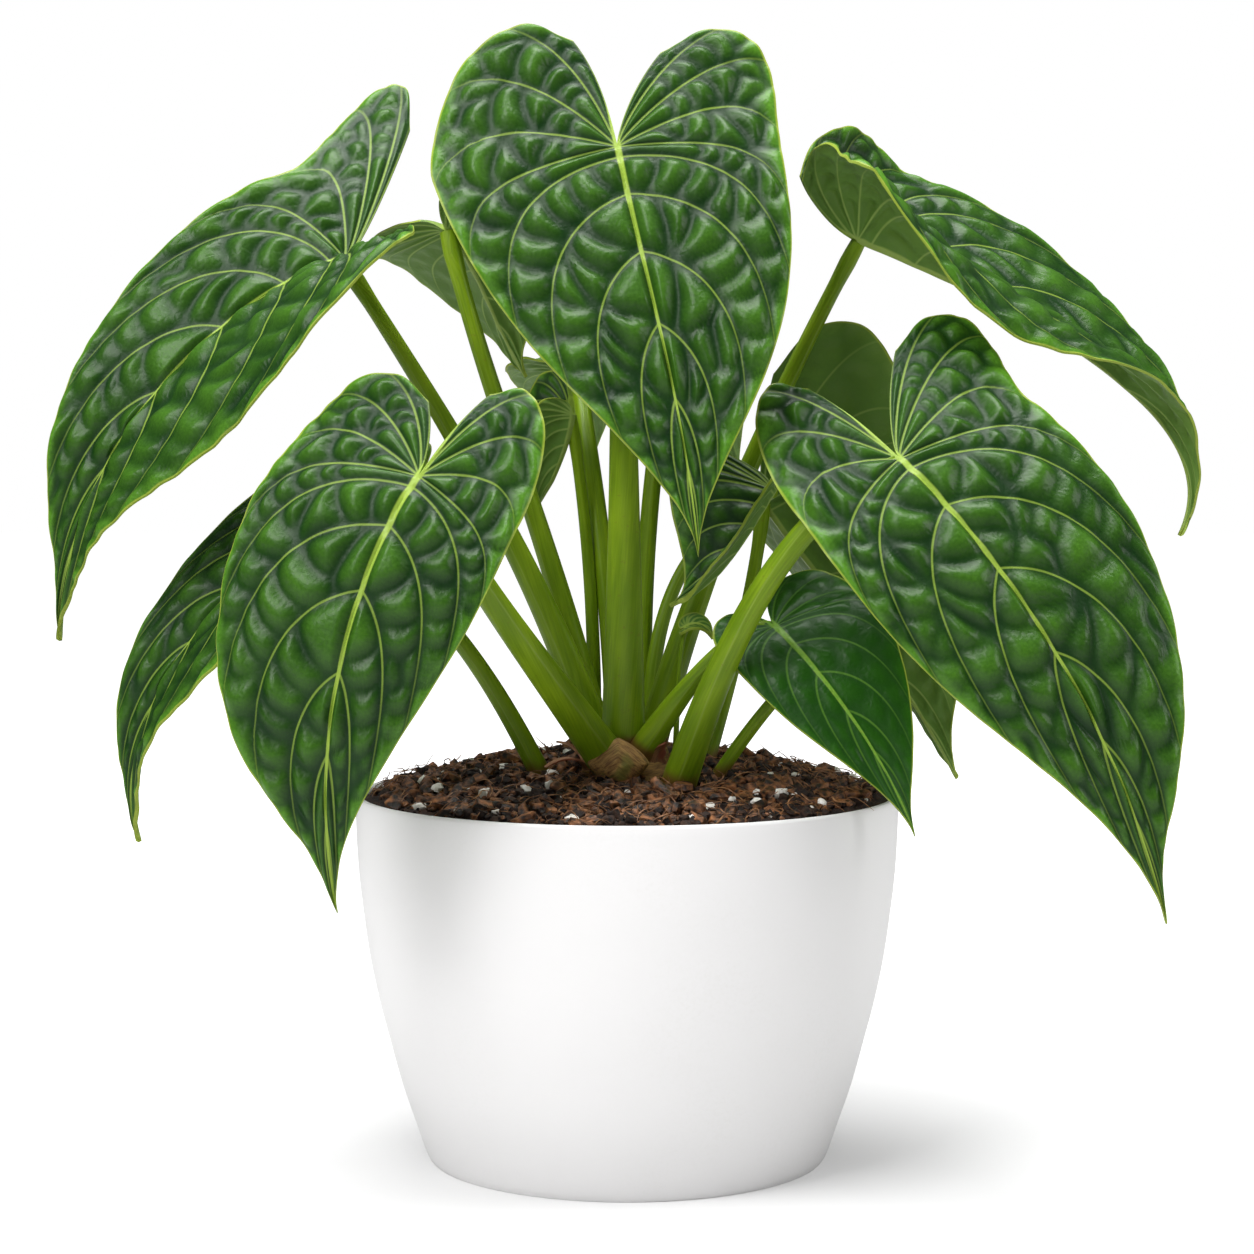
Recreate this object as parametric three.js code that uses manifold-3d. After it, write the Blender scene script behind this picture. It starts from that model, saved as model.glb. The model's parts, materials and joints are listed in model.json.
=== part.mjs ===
// Potted anthurium: quilted heart-shaped blades on channelled stalks, a crown, potting mix and a plain pot.
// Millimetres, +Z up. The origin is the middle of the pot's flat underside, and -Y is the plant's front.
import * as THREE from 'three';
import { mergeVertices } from 'three/addons/utils/BufferGeometryUtils.js';
import Module from 'manifold-3d';

const wasm = await Module();
wasm.setup();

// Driving dimensions.
const POT_HEIGHT = 121.5;
const POT_RADIUS = 90;
const POT_BASE_RADIUS = 66;
const POT_WALL = 2.6;
const POT_FLOOR = 4;
const POT_SEGMENTS = 40;
const SOIL_EDGE_DROP = 2;
const SOIL_MOUND = 10.5;
const SOIL_BACK_TILT = 0.07;
const SOIL_LUMP = 1.5;
const SOIL_RINGS = 10;
const GAP = 0.3;
const SLIVER = 0.05;
const BLADE_THICKNESS = 0.8;
const RIB_DEPTH = 1.3;
const RIB_WIDTH = 2.6;
const STALK_SIDES = 9;
const STALK_STEPS = 9;
const STALK_TAPER = 1.6;
const STALK_CHANNEL = 0.16;
const STALK_CHANNEL_ANGLE = 0.5;
const MIDRIB_SAMPLES = 120;
// Relief of a blade: puckered cells along each vein's strip, how much of the height the sunken lines
// between them take, how they are staggered, and how the quilting fades to the margin.
const CELLS = 2.5;
const CELL_DENT = 0.3;
const CELL_STAGGER = 0.35;
const MARGIN_FADE = 0.55;
const WAVE_STEP = 2.1;
const LOBE_SPREAD_START = 6;
const BRACT_ROWS = 3;
const BRACT_HALF_WIDTH = 5.5;
const BRACT_TIP = 0.5;
const BRACT_CUP = 1.6;
const BRACT_HALF_THICKNESS = 0.4;
const BRACT_FOOT_RADIUS = 12.5;
const BRACT_OUTWARD = 2.4;

const COLOURS = {
  blade: 0x2f5a2c,
  youngBlade: 0x5c7a2a,
  stalk: 0x6b8230,
  crown: 0x6a5230,
  soil: 0x3a2117,
  pot: 0xf1f1ef,
};

// Half of a blade's outline from its tip round the side to the lobe beside the stalk:
// across in half widths, along in blade lengths from the stalk, the lobes being behind it.
const OUTLINE = [
  [0, 1],
  [0.03, 0.94],
  [0.105, 0.865],
  [0.27, 0.76],
  [0.52, 0.615],
  [0.755, 0.455],
  [0.925, 0.28],
  [1, 0.09],
  [0.97, -0.09],
  [0.79, -0.225],
  [0.47, -0.285],
  [0.19, -0.245],
];
const VEINS = OUTLINE.length - 1;
const LOBE_LENGTH = 0.285;
// A vein runs to each outline point: where on the midrib it starts, and where its bend lies
// on the way out and on the way along.
const VEIN_START = [1, 0.8, 0.64, 0.46, 0.28, 0.13, 0.03, 0, 0, 0, 0, 0];
const VEIN_OUTWARD = [0.75, 0.75, 0.75, 0.75, 0.74, 0.73, 0.71, 0.64, 0.55, 0.43, 0.32, 0.18];
const VEIN_ONWARD = [0.3, 0.3, 0.27, 0.24, 0.21, 0.17, 0.12, 0.35, 0.85, 0.7, 0.67, 0.6];

// Every blade: the midrib as a Bezier curve from the stalk to the tip, the way the upper face looks at
// both ends, and pairs for the half on the left and on the right of someone who looks at that face with the
// tip downwards. Angles are degrees: fold is the rise of a half out of the plane
// (one angle, or three at the stalk, half way and at the tip), curl its bend from midrib to margin,
// lobeFold what the lobe adds and lobeBend its bend backwards. lobe is the lobe's length, spread how far
// it leans outwards, belly and shoulder the extra width half way and towards the tip, as shares.
const BLADES = {
  top: {
    midrib: [[-3, -30, 331], [4, -50, 294], [18, -66, 250], [22, -70, 202]],
    faces: [[0, -0.97, 0.25], [0, -1, 0.05]],
    widths: [60, 52], fold: [6, 6], curl: [-14, -14], lobe: [1.28, 0.97], spread: [-0.1, 0.35],
    belly: [-0.12, -0.1], shoulder: [0, 0.2], quilt: 1.7, wave: 1.2, columns: 2, rows: 5,
  },
  upper_left: {
    midrib: [[-92, -10, 297], [-120, -22, 288], [-181, -30, 242], [-184, -20, 173]],
    faces: [[-0.35, -0.65, 0.65], [-0.55, -0.75, 0.2]],
    widths: [43, 54], fold: [22, [38, 10, 20]], curl: [-10, -10], lobe: [1.15, 0.32], spread: [1, -0.3],
    belly: [-0.14, 0.05], shoulder: [0.2, 0], quilt: 1.3, wave: 1.2, columns: 2, rows: 5,
  },
  upper_right: {
    midrib: [[77, 10, 305], [109, 5, 291], [204, -5, 253], [180, -15, 207]],
    faces: [[0.52, -0.41, 0.74], [0.9, -0.2, 0.2]],
    widths: [46, 50], fold: [[82, 36, 75], 20], curl: [-70, -10], lobeFold: [0, 25], lobeBend: 30,
    lobe: [0.7, 0.75], shoulder: [0.3, 0.2], quilt: 1.2, wave: 0.8, columns: 2, rows: 5,
  },
  lower_left: {
    midrib: [[-62, -95, 227], [-78, -110, 203], [-96, -112, 152], [-87, -95, 96]],
    faces: [[-0.2, -0.9, 0.35], [-0.1, -1, -0.05]],
    widths: [45, 34], fold: [0, 0], curl: [-20, -20], lobe: [0.75, 1.05], spread: [0.2, -0.1],
    belly: [0, 0.08], shoulder: [0.32, 0], quilt: 1.5, wave: 1.2, columns: 2, rows: 5,
  },
  lower_right: {
    midrib: [[84, -65, 232], [105, -85, 211], [145, -95, 163], [164, -85, 91]],
    faces: [[0.2, -0.9, 0.35], [0.15, -1, 0]],
    widths: [38, 50], fold: [4, 4], curl: [-16, -16], lobe: [1, 0.9], spread: [-0.1, 0.6],
    belly: [0.15, -0.1], shoulder: [0, 0.3], quilt: 1.7, wave: 1.2, columns: 2, rows: 5,
  },
  far_left: {
    midrib: [[-96, -20, 212], [-117, -30, 203], [-170, -35, 154], [-158, -25, 108]],
    faces: [[-0.45, -0.6, 0.65], [-0.7, -0.7, 0.1]],
    widths: [28, 36], fold: [20, 20], curl: [-10, -10], lobe: [1.2, 1],
    belly: [-0.3, 0], shoulder: [0.35, 0], quilt: 1, wave: 0.8, columns: 2, rows: 4,
  },
  small_right: {
    midrib: [[47.4, -33, 178.3], [54.6, -48.4, 172.2], [79.3, -58.7, 144.3], [90.6, -53.6, 113.4]],
    faces: [[0.1, -0.9, 0.4], [0.1, -1, 0.1]],
    widths: [20, 31], fold: [4, 4], curl: [-10, -10], lobe: [0.7, 1], spread: [0, 0.15],
    quilt: 0.6, wave: 0.5, columns: 1, rows: 5,
  },
  back_left: {
    midrib: [[-60, 20, 309], [-50, 30, 298], [-44, 45, 276], [-35, 50, 260]],
    faces: [[0.3, 0.75, 0.55], [0.3, 0.8, 0.5]],
    widths: [30, 35], fold: [0, [0, 20, 25]], curl: [0, 0], lobe: [0.8, 0.5],
    quilt: 0.6, wave: 0.5, columns: 1, rows: 3,
  },
  inner_left: {
    midrib: [[-19, 21, 247], [-20, 22, 237], [-27, 23, 223], [-32, 24, 213]],
    faces: [[-0.6, -0.75, 0.2], [-0.6, -0.75, 0.2]],
    widths: [20, 14], fold: [0, 110], curl: [0, 0], lobe: [1.3, 0.5],
    quilt: 0.5, wave: 0.4, columns: 1, rows: 3,
  },
  back_right: {
    midrib: [[47.5, 38, 217], [59.5, 36, 197], [90, 32, 170], [113, 28, 122.5]],
    faces: [[0.2, 0.9, 0.4], [0.2, 0.9, 0.3]],
    widths: [62, 40], fold: [0, 55], curl: [0, 0], lobe: [1.25, 0.8], spread: [0.5, 0],
    quilt: 0.8, wave: 0.6, columns: 2, rows: 4,
  },
  inner_right: {
    midrib: [[48, 0, 222], [39, -7, 208], [29, -12, 190], [14, -14, 184]],
    faces: [[-0.2, -0.75, 0.6], [-0.4, -0.7, 0.5]],
    widths: [34, 20], fold: [10, 65], curl: [0, 0], lobe: [0.3, 0.8],
    quilt: 0.6, wave: 0.4, columns: 1, rows: 3,
  },
  rear_left: {
    midrib: [[-17, 66, 262], [-17, 96, 258], [-16, 122, 246], [-14, 140, 223]],
    faces: [[0, 0.3, 0.95], [0, 0.8, 0.6]],
    widths: [19, 26], fold: [8, 8], curl: [-10, -10], lobe: [0.7, 0.7],
    quilt: 0.9, wave: 0.8, columns: 1, rows: 3,
  },
  rear_right: {
    midrib: [[13, 32, 259], [22, 70, 258], [34, 110, 246], [43, 140, 216]],
    faces: [[0, 0.3, 0.95], [0, 0.8, 0.6]],
    widths: [22, 28], fold: [8, 8], curl: [-10, -10], lobe: [0.7, 0.7],
    quilt: 0.9, wave: 0.8, columns: 1, rows: 3,
  },
  low_right: {
    midrib: [[86, -18, 187], [99, -20, 187], [118, -22, 174], [130, -24, 152]],
    faces: [[0.3, -0.2, 0.95], [0.8, -0.2, 0.3]],
    widths: [14, 14], fold: [8, 8], curl: [-10, -10], lobe: [0.8, 0.8],
    quilt: 0.6, wave: 0.5, columns: 1, rows: 3,
  },
  newest: {
    midrib: [[20, -12, 177], [23, -13, 179], [27, -13, 177], [28, -13, 173]],
    faces: [[-0.1, -0.5, 0.9], [0.6, -0.5, 0.5]],
    widths: [5, 5], fold: [20, 20], curl: [0, 0], quilt: 0, wave: 0, columns: 1, rows: 2, rib: 0.3,
  },
};

// Every stalk, front ones first because the later ones are cut back where they meet:
// its Bezier curve from inside the crown or the mix up to its blade, and its radius at both ends.
const STALKS = {
  top: { path: [[-1, -13, 128], [-1, -22, 186], [0, -30, 240], [-3, -26, 331]], radii: [7.6, 3.2] },
  lower_left: { path: [[-4, -18, 131], [-27, -50, 167], [-45, -80, 192], [-62, -92, 226]], radii: [7, 3.6] },
  small_right: { path: [[2, -17, 133], [18, -29, 159], [36, -30, 182], [47, -29, 177.5]], radii: [5.8, 2] },
  lower_right: { path: [[12, -22, 112], [27, -50, 166], [44, -67, 213], [83, -62, 231]], radii: [6.6, 3.4] },
  upper_left: { path: [[-7, -5, 132], [-29, -10, 199], [-61, -12, 248], [-92, -6, 296]], radii: [6.2, 2.7] },
  upper_right: { path: [[6, -8, 132], [24, 6, 199], [54, 17, 261], [77, 12, 304]], radii: [5.8, 2.5] },
  far_left: { path: [[-21, -9, 113], [-42, -14, 160], [-61, -18, 189], [-96, -16, 211]], radii: [4.2, 2.6] },
  back_left: { path: [[-8, 4, 132], [-22, 10, 198], [-49, 14, 258], [-60, 20, 308]], radii: [4.8, 2.8] },
  inner_right: { path: [[8, 6, 130], [4, 12, 200], [34, 36, 212], [48, 2, 221]], radii: [3.2, 2.1] },
  rear_left: { path: [[-3, 11, 120], [-5, 20, 200], [-14, 30, 235], [-17, 67, 261]], radii: [3.6, 3] },
  rear_right: { path: [[5, 13, 120], [4, 18, 190], [8, 22, 225], [13, 33, 258]], radii: [3.4, 2.8] },
  inner_left: { path: [[-12, 14, 118], [-9, 17, 168], [-14, 28, 215], [-19, 22.5, 246.5]], radii: [2.8, 1.9] },
  back_right: { path: [[22, 3, 114], [32, 12, 149], [42, 26, 177], [47, 36.8, 216.4]], radii: [2.8, 2.2] },
  low_right: { path: [[20, -13, 112], [36, -15, 141], [57, -17, 169], [85, -18, 186]], radii: [2.8, 2] },
  newest: { path: [[15, -13, 116], [17, -14, 165], [17, -13, 173], [20, -12, 177]], radii: [1.3, 0.8] },
};

// The crown's outline turned about its own upright axis, as radius and height, where that axis stands,
// and how much deeper than wide the crown is.
const CROWN_PLACE = [0, -7];
const CROWN_DEPTH = 1.27;
const CROWN_PROFILE = [[0, 104], [9, 105], [13, 112], [14.5, 122], [15, 129], [13, 137], [8, 143], [0, 145]];
const CROWN_SEGMENTS = 16;
// Dry bracts stand round the crown: their bearing in degrees from the front, foot height, length and lean.
const BRACTS = [
  { bearing: -62, foot: 124, length: 17, lean: 62 },
  { bearing: -100, foot: 126, length: 15, lean: 35 },
  { bearing: 40, foot: 128, length: 13, lean: 20 },
  { bearing: 95, foot: 126, length: 16, lean: 40 },
  { bearing: 165, foot: 126, length: 15, lean: 30 },
  { bearing: -150, foot: 127, length: 14, lean: 45 },
];

const vector = (p) => new THREE.Vector3(p[0], p[1], p[2]);
const radians = THREE.MathUtils.degToRad;

// A uniform Catmull-Rom curve through numbers that stand one step apart.
function spline(values, t) {
  const last = values.length - 1;
  const i = Math.min(Math.max(Math.floor(t), 0), last - 1);
  const f = t - i;
  const a = i > 0 ? values[i - 1] : 2 * values[0] - values[1];
  const b = values[i];
  const c = values[i + 1];
  const d = i + 2 <= last ? values[i + 2] : 2 * values[last] - values[last - 1];
  const square = 2 * a - 5 * b + 4 * c - d;
  const cube = 3 * b - a - 3 * c + d;
  return 0.5 * (2 * b + (c - a) * f + square * f ** 2 + cube * f ** 3);
}

const OUTLINE_ACROSS = OUTLINE.map((p) => p[0]);
const OUTLINE_ALONG = OUTLINE.map((p) => p[1]);

// A blade's midrib with the directions along it, out of its upper face and across it.
class Midrib {
  constructor(blade) {
    this.blade = blade;
    const curve = new THREE.CubicBezierCurve3(...blade.midrib.map(vector));
    curve.arcLengthDivisions = MIDRIB_SAMPLES;
    this.curve = curve;
    this.length = curve.getLength();
    this.faces = blade.faces.map((face) => vector(face).normalize());
  }

  // The frame at a distance from the stalk; behind the stalk it follows the bend of the lobes.
  at(along) {
    const share = THREE.MathUtils.clamp(along / this.length, 0, 1);
    const place = this.curve.getPointAt(share);
    const forward = this.curve.getTangentAt(share);
    const face = this.faces[0].clone().lerp(this.faces[1], share);
    face.addScaledVector(forward, -face.dot(forward)).normalize();
    const across = new THREE.Vector3().crossVectors(face, forward);
    if (along < 0) {
      const bend = radians(this.blade.lobeBend ?? 0) / (LOBE_LENGTH * this.length);
      const angle = -along * bend;
      const back = bend ? Math.sin(angle) / bend : -along;
      const rise = bend ? (1 - Math.cos(angle)) / bend : 0;
      place.addScaledVector(forward, -back).addScaledVector(face, rise);
      face.multiplyScalar(Math.cos(angle)).addScaledVector(forward, Math.sin(angle));
    }
    return { place, face, across };
  }
}

// Where a vein's point lies on the flat blade: across from the midrib and along from the stalk, in mm.
function flatPoint(midrib, half, t, s) {
  const { widths, lobe = [1, 1], spread = [0, 0], belly = [0, 0], shoulder = [0, 0] } = midrib.blade;
  const length = midrib.length;
  const tipwards = spline(OUTLINE_ALONG, t);
  const ahead = Math.max(tipwards, 0);
  // Both humps are 0 at the stalk and the tip and 1 at their highest: half way, and two thirds of the way.
  const hump = 4 * ahead * (1 - ahead);
  const fartherHump = 6.75 * ahead ** 2 * (1 - ahead);
  const wider = 1 + belly[half] * hump + shoulder[half] * fartherHump;
  const outX = spline(OUTLINE_ACROSS, t) * widths[half] * wider;
  const outY = tipwards * length * (tipwards < 0 ? lobe[half] : 1);
  const start = THREE.MathUtils.clamp(spline(VEIN_START, t), 0, 1) * length;
  const bendX = spline(VEIN_OUTWARD, t) * outX;
  const bendY = start + spline(VEIN_ONWARD, t) * (outY - start);
  const along = (1 - s) ** 2 * start + 2 * (1 - s) * s * bendY + s * s * outY;
  const behind = Math.max(-along, 0);
  const leaning = spread[half] * behind * behind / (behind + LOBE_SPREAD_START);
  const across = 2 * (1 - s) * s * bendX + s * s * outX + leaning;
  return { across, along };
}

// The rise of a half out of the plane, at a distance from the stalk.
function foldAngle(midrib, half, along) {
  const { fold, lobeFold = [0, 0] } = midrib.blade;
  const ahead = THREE.MathUtils.clamp(along / midrib.length, 0, 1);
  const behind = THREE.MathUtils.clamp(-along / (LOBE_LENGTH * midrib.length), 0, 1);
  const [first, middle, last] = Array.isArray(fold[half]) ? fold[half] : [fold[half], fold[half], fold[half]];
  const early = first * (1 - ahead) * (1 - 2 * ahead);
  const midway = 4 * middle * ahead * (1 - ahead);
  const late = last * ahead * (2 * ahead - 1);
  return radians(early + midway + late + lobeFold[half] * behind);
}

// The quilted relief: pillows between sunken veins, crossed by finer ones, and a slow wave at the margin.
function relief(blade, half, t, s) {
  const pillow = Math.abs(Math.sin(Math.PI * t));
  const cell = 2 * Math.PI * (CELLS * s + CELL_STAGGER * Math.floor(t));
  const crossed = 1 - CELL_DENT * (1 + Math.cos(cell));
  const inset = Math.min(s / 0.2, 1) * (1 - MARGIN_FADE * s ** 4) * Math.min(t / 1.2, 1);
  const wave = Math.sin(WAVE_STEP * t + half) * s ** 3;
  return blade.quilt * pillow * crossed * inset + blade.wave * wave;
}

// A point of the blade's middle surface and the direction out of its upper face there.
function surfacePoint(midrib, half, t, s) {
  const { across, along } = flatPoint(midrib, half, t, s);
  const { place, face, across: sideways } = midrib.at(along);
  const outwards = half ? 1 : -1;
  const start = foldAngle(midrib, half, along);
  const bend = radians(midrib.blade.curl[half] || 0.001) / midrib.blade.widths[half];
  const angle = start + bend * across;
  const out = (Math.sin(angle) - Math.sin(start)) / bend;
  const up = (Math.cos(start) - Math.cos(angle)) / bend;
  const normal = sideways.clone().multiplyScalar(-outwards * Math.sin(angle));
  normal.addScaledVector(face, Math.cos(angle));
  const point = place.addScaledVector(sideways, outwards * out).addScaledVector(face, up);
  point.addScaledVector(normal, relief(midrib.blade, half, t, s));
  return { point, normal, across };
}

// The direction out of the upper face on the midrib, halfway between those of the two halves.
function midribNormal(midrib, t) {
  const left = surfacePoint(midrib, 0, t, 0).normal;
  return left.add(surfacePoint(midrib, 1, t, 0).normal).normalize();
}

// A closed sheet between an upper and a lower skin of the same triangles, with a wall round its edge,
// which moves outwards by grow.
function sheetGeometry(upper, lower, triangles, edge, grow) {
  const count = upper.length;
  const moves = edge.map((a, k) => {
    const tangent = upper[edge[(k + 1) % edge.length]].clone().sub(upper[edge.at(k - 1)]);
    return tangent.cross(upper[a].clone().sub(lower[a])).normalize().multiplyScalar(grow);
  });
  edge.forEach((a, k) => {
    upper[a].add(moves[k]);
    lower[a].add(moves[k]);
  });
  const positions = [...upper, ...lower].flatMap((p) => [p.x, p.y, p.z]);
  const indices = [];
  for (const [a, b, c] of triangles) {
    indices.push(a, b, c);
    indices.push(a + count, c + count, b + count);
  }
  edge.forEach((a, k) => {
    const b = edge[(k + 1) % edge.length];
    indices.push(a, a + count, b);
    indices.push(b, a + count, b + count);
  });
  const geometry = new THREE.BufferGeometry();
  geometry.setAttribute('position', new THREE.Float32BufferAttribute(positions, 3));
  geometry.setIndex(indices);
  return geometry;
}

// A blade as one closed sheet: columns of points along each vein, shared at the midrib.
function bladeGeometry(blade, grow = 0) {
  const midrib = new Midrib(blade);
  const columns = VEINS * blade.columns;
  const upper = [];
  const lower = [];
  const add = (half, t, s) => {
    const { point, normal, across } = surfacePoint(midrib, half, t, s);
    if (s === 0) normal.copy(midribNormal(midrib, t));
    const thinning = THREE.MathUtils.clamp(t / 2, 0.25, 1);
    const rib = (blade.rib ?? RIB_DEPTH) * thinning * Math.exp(-((across / RIB_WIDTH) ** 2));
    upper.push(point.clone().addScaledVector(normal, BLADE_THICKNESS / 2 + grow + 0.25 * rib));
    lower.push(point.clone().addScaledVector(normal, -BLADE_THICKNESS / 2 - grow - rib));
    return upper.length - 1;
  };
  // Midrib points are shared by both halves, and the veins behind the stalk all start at its joint.
  const shared = [add(1, 0, 1)];
  for (let i = 1; i <= columns; i += 1) {
    const t = i / blade.columns;
    shared.push(spline(VEIN_START, t) > 0.005 ? add(1, t, 0) : -1);
  }
  const joint = add(1, VEINS, 0);
  const grid = [0, 1].map((half) => shared.map((middle, i) => {
    if (i === 0) return [];
    const column = [middle < 0 ? joint : middle];
    for (let j = 1; j <= blade.rows; j += 1) column.push(add(half, i / blade.columns, j / blade.rows));
    return column;
  }));
  const triangles = [];
  const push = (half, a, b, c) => {
    if (a !== b && b !== c && a !== c) triangles.push(half ? [a, c, b] : [a, b, c]);
  };
  for (const half of [0, 1]) {
    const side = grid[half];
    for (let j = 0; j < blade.rows; j += 1) push(half, shared[0], side[1][j], side[1][j + 1]);
    for (let i = 1; i < columns; i += 1) {
      for (let j = 0; j < blade.rows; j += 1) {
        push(half, side[i][j], side[i + 1][j], side[i + 1][j + 1]);
        push(half, side[i][j], side[i + 1][j + 1], side[i][j + 1]);
      }
    }
  }
  const margin = (half) => grid[half].slice(1).map((column) => column[blade.rows]);
  const sinus = (half) => grid[half][columns].slice(1, blade.rows);
  const edge = [shared[0], ...margin(1), ...sinus(1).reverse(), joint, ...sinus(0), ...margin(0).reverse()];
  return sheetGeometry(upper, lower, triangles, edge, grow);
}

// A stalk: rings along its curve, round at the back and channelled on the side that faces the crown.
function stalkGeometry(stalk, grow = 0) {
  const curve = new THREE.CubicBezierCurve3(...stalk.path.map(vector));
  const [baseRadius, topRadius] = stalk.radii;
  const inwards = vector(stalk.path[0]).sub(vector(stalk.path[3])).setZ(0).normalize();
  const positions = [];
  const indices = [];
  for (let k = 0; k <= STALK_STEPS; k += 1) {
    const u = k / STALK_STEPS;
    const centre = curve.getPointAt(u);
    const forward = curve.getTangentAt(u);
    const top = inwards.clone().addScaledVector(forward, -inwards.dot(forward)).normalize();
    const side = new THREE.Vector3().crossVectors(forward, top);
    if (k === 0) centre.addScaledVector(forward, -grow);
    const radius = topRadius + (baseRadius - topRadius) * (1 - u) ** STALK_TAPER + grow;
    for (let n = 0; n < STALK_SIDES; n += 1) {
      const turn = 2 * Math.PI * n / STALK_SIDES;
      const fromTop = Math.min(turn, 2 * Math.PI - turn);
      const dent = 1 - STALK_CHANNEL * Math.exp(-((fromTop / STALK_CHANNEL_ANGLE) ** 2));
      const point = centre.clone().addScaledVector(top, radius * dent * Math.cos(turn));
      point.addScaledVector(side, radius * Math.sin(turn));
      positions.push(point.x, point.y, point.z);
    }
  }
  for (let k = 0; k < STALK_STEPS; k += 1) {
    for (let n = 0; n < STALK_SIDES; n += 1) {
      const a = k * STALK_SIDES + n;
      const b = k * STALK_SIDES + (n + 1) % STALK_SIDES;
      indices.push(a, b, b + STALK_SIDES, a, b + STALK_SIDES, a + STALK_SIDES);
    }
  }
  const last = STALK_STEPS * STALK_SIDES;
  for (let n = 1; n < STALK_SIDES - 1; n += 1) {
    indices.push(0, n + 1, n);
    indices.push(last, last + n, last + n + 1);
  }
  const geometry = new THREE.BufferGeometry();
  geometry.setAttribute('position', new THREE.Float32BufferAttribute(positions, 3));
  geometry.setIndex(indices);
  return geometry;
}

// A lathed solid about the upright axis.
function turned(profile, segments) {
  const geometry = new THREE.LatheGeometry(profile.map(([r, z]) => new THREE.Vector2(r, z)), segments);
  geometry.rotateX(Math.PI / 2);
  return geometry;
}

// The pot's outer side as radius and height: a small foot edge, a gentle bulge and a rounded rim.
const POT_SIDE = [
  [POT_BASE_RADIUS - 1.5, 0],
  [POT_BASE_RADIUS + 0.6, 1.2],
  [70.8, 13],
  [75.2, 26],
  [79, 40],
  [82.6, 54],
  [85.4, 68],
  [87.4, 82],
  [89, 96],
  [89.8, 110],
  [POT_RADIUS, POT_HEIGHT - 1.2],
  [POT_RADIUS - 0.7, POT_HEIGHT - 0.1],
];

// Heights of the points down the pot's inner side, which the mix follows.
const INNER_HEIGHTS = [110, 82, 54, 26, POT_FLOOR];

// The pot's inner radius at a height, a wall's thickness inside its outer side.
function innerRadius(z) {
  const above = POT_SIDE.findIndex((p) => p[1] >= z);
  const [r0, z0] = POT_SIDE[above - 1];
  const [r1, z1] = POT_SIDE[above];
  return r0 + (r1 - r0) * (z - z0) / (z1 - z0) - POT_WALL;
}

function potGeometry() {
  const inner = [POT_HEIGHT - 1, ...INNER_HEIGHTS].map((z) => [innerRadius(z), z]);
  const rim = [[POT_RADIUS - 1.3, POT_HEIGHT], [POT_RADIUS - 2, POT_HEIGHT - 0.3]];
  return turned([[0, 0], ...POT_SIDE, ...rim, ...inner, [0, POT_FLOOR]], POT_SEGMENTS);
}

// The height of the potting mix: a mound with its back a little higher, and lumps of bark.
function soilHeight(x, y) {
  const edge = POT_HEIGHT - SOIL_EDGE_DROP;
  const radius = Math.hypot(x, y);
  const inside = 1 - (radius / (POT_RADIUS - POT_WALL)) ** 2;
  const lumps = Math.sin(0.31 * x + 1.3 * Math.sin(0.17 * y)) * Math.cos(0.27 * y + 0.9 * Math.sin(0.23 * x));
  const grains = Math.sin(0.83 * x + 0.4 * y) * Math.sin(0.71 * y - 0.3 * x);
  const ease = Math.min(inside / 0.12, 1);
  return edge + SOIL_MOUND * inside + SOIL_BACK_TILT * y * inside + SOIL_LUMP * ease * (lumps + 0.5 * grains);
}

function soilGeometry() {
  const rimRadius = innerRadius(POT_HEIGHT - SOIL_EDGE_DROP - 1) - GAP;
  const walls = INNER_HEIGHTS.map((z) => [innerRadius(z) - GAP, Math.max(z, POT_FLOOR + GAP)]);
  const positions = [0, 0, soilHeight(0, 0)];
  const indices = [];
  const ring = (radius, height) => {
    for (let n = 0; n < POT_SEGMENTS; n += 1) {
      const turn = 2 * Math.PI * n / POT_SEGMENTS;
      const x = radius * Math.cos(turn);
      const y = radius * Math.sin(turn);
      positions.push(x, y, height ?? soilHeight(x, y));
    }
  };
  for (let k = 1; k <= SOIL_RINGS; k += 1) ring(rimRadius * k / SOIL_RINGS);
  for (const [radius, height] of walls) ring(radius, height);
  positions.push(0, 0, POT_FLOOR + GAP);
  const rings = SOIL_RINGS + walls.length;
  const bottom = 1 + rings * POT_SEGMENTS;
  for (let n = 0; n < POT_SEGMENTS; n += 1) {
    const next = (n + 1) % POT_SEGMENTS;
    indices.push(0, 1 + n, 1 + next);
    for (let k = 0; k < rings - 1; k += 1) {
      const a = 1 + k * POT_SEGMENTS + n;
      const b = 1 + k * POT_SEGMENTS + next;
      indices.push(a, a + POT_SEGMENTS, b + POT_SEGMENTS, a, b + POT_SEGMENTS, b);
    }
    const last = 1 + (rings - 1) * POT_SEGMENTS;
    indices.push(last + n, bottom, last + next);
  }
  const geometry = new THREE.BufferGeometry();
  geometry.setAttribute('position', new THREE.Float32BufferAttribute(positions, 3));
  geometry.setIndex(indices);
  return geometry;
}

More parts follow.
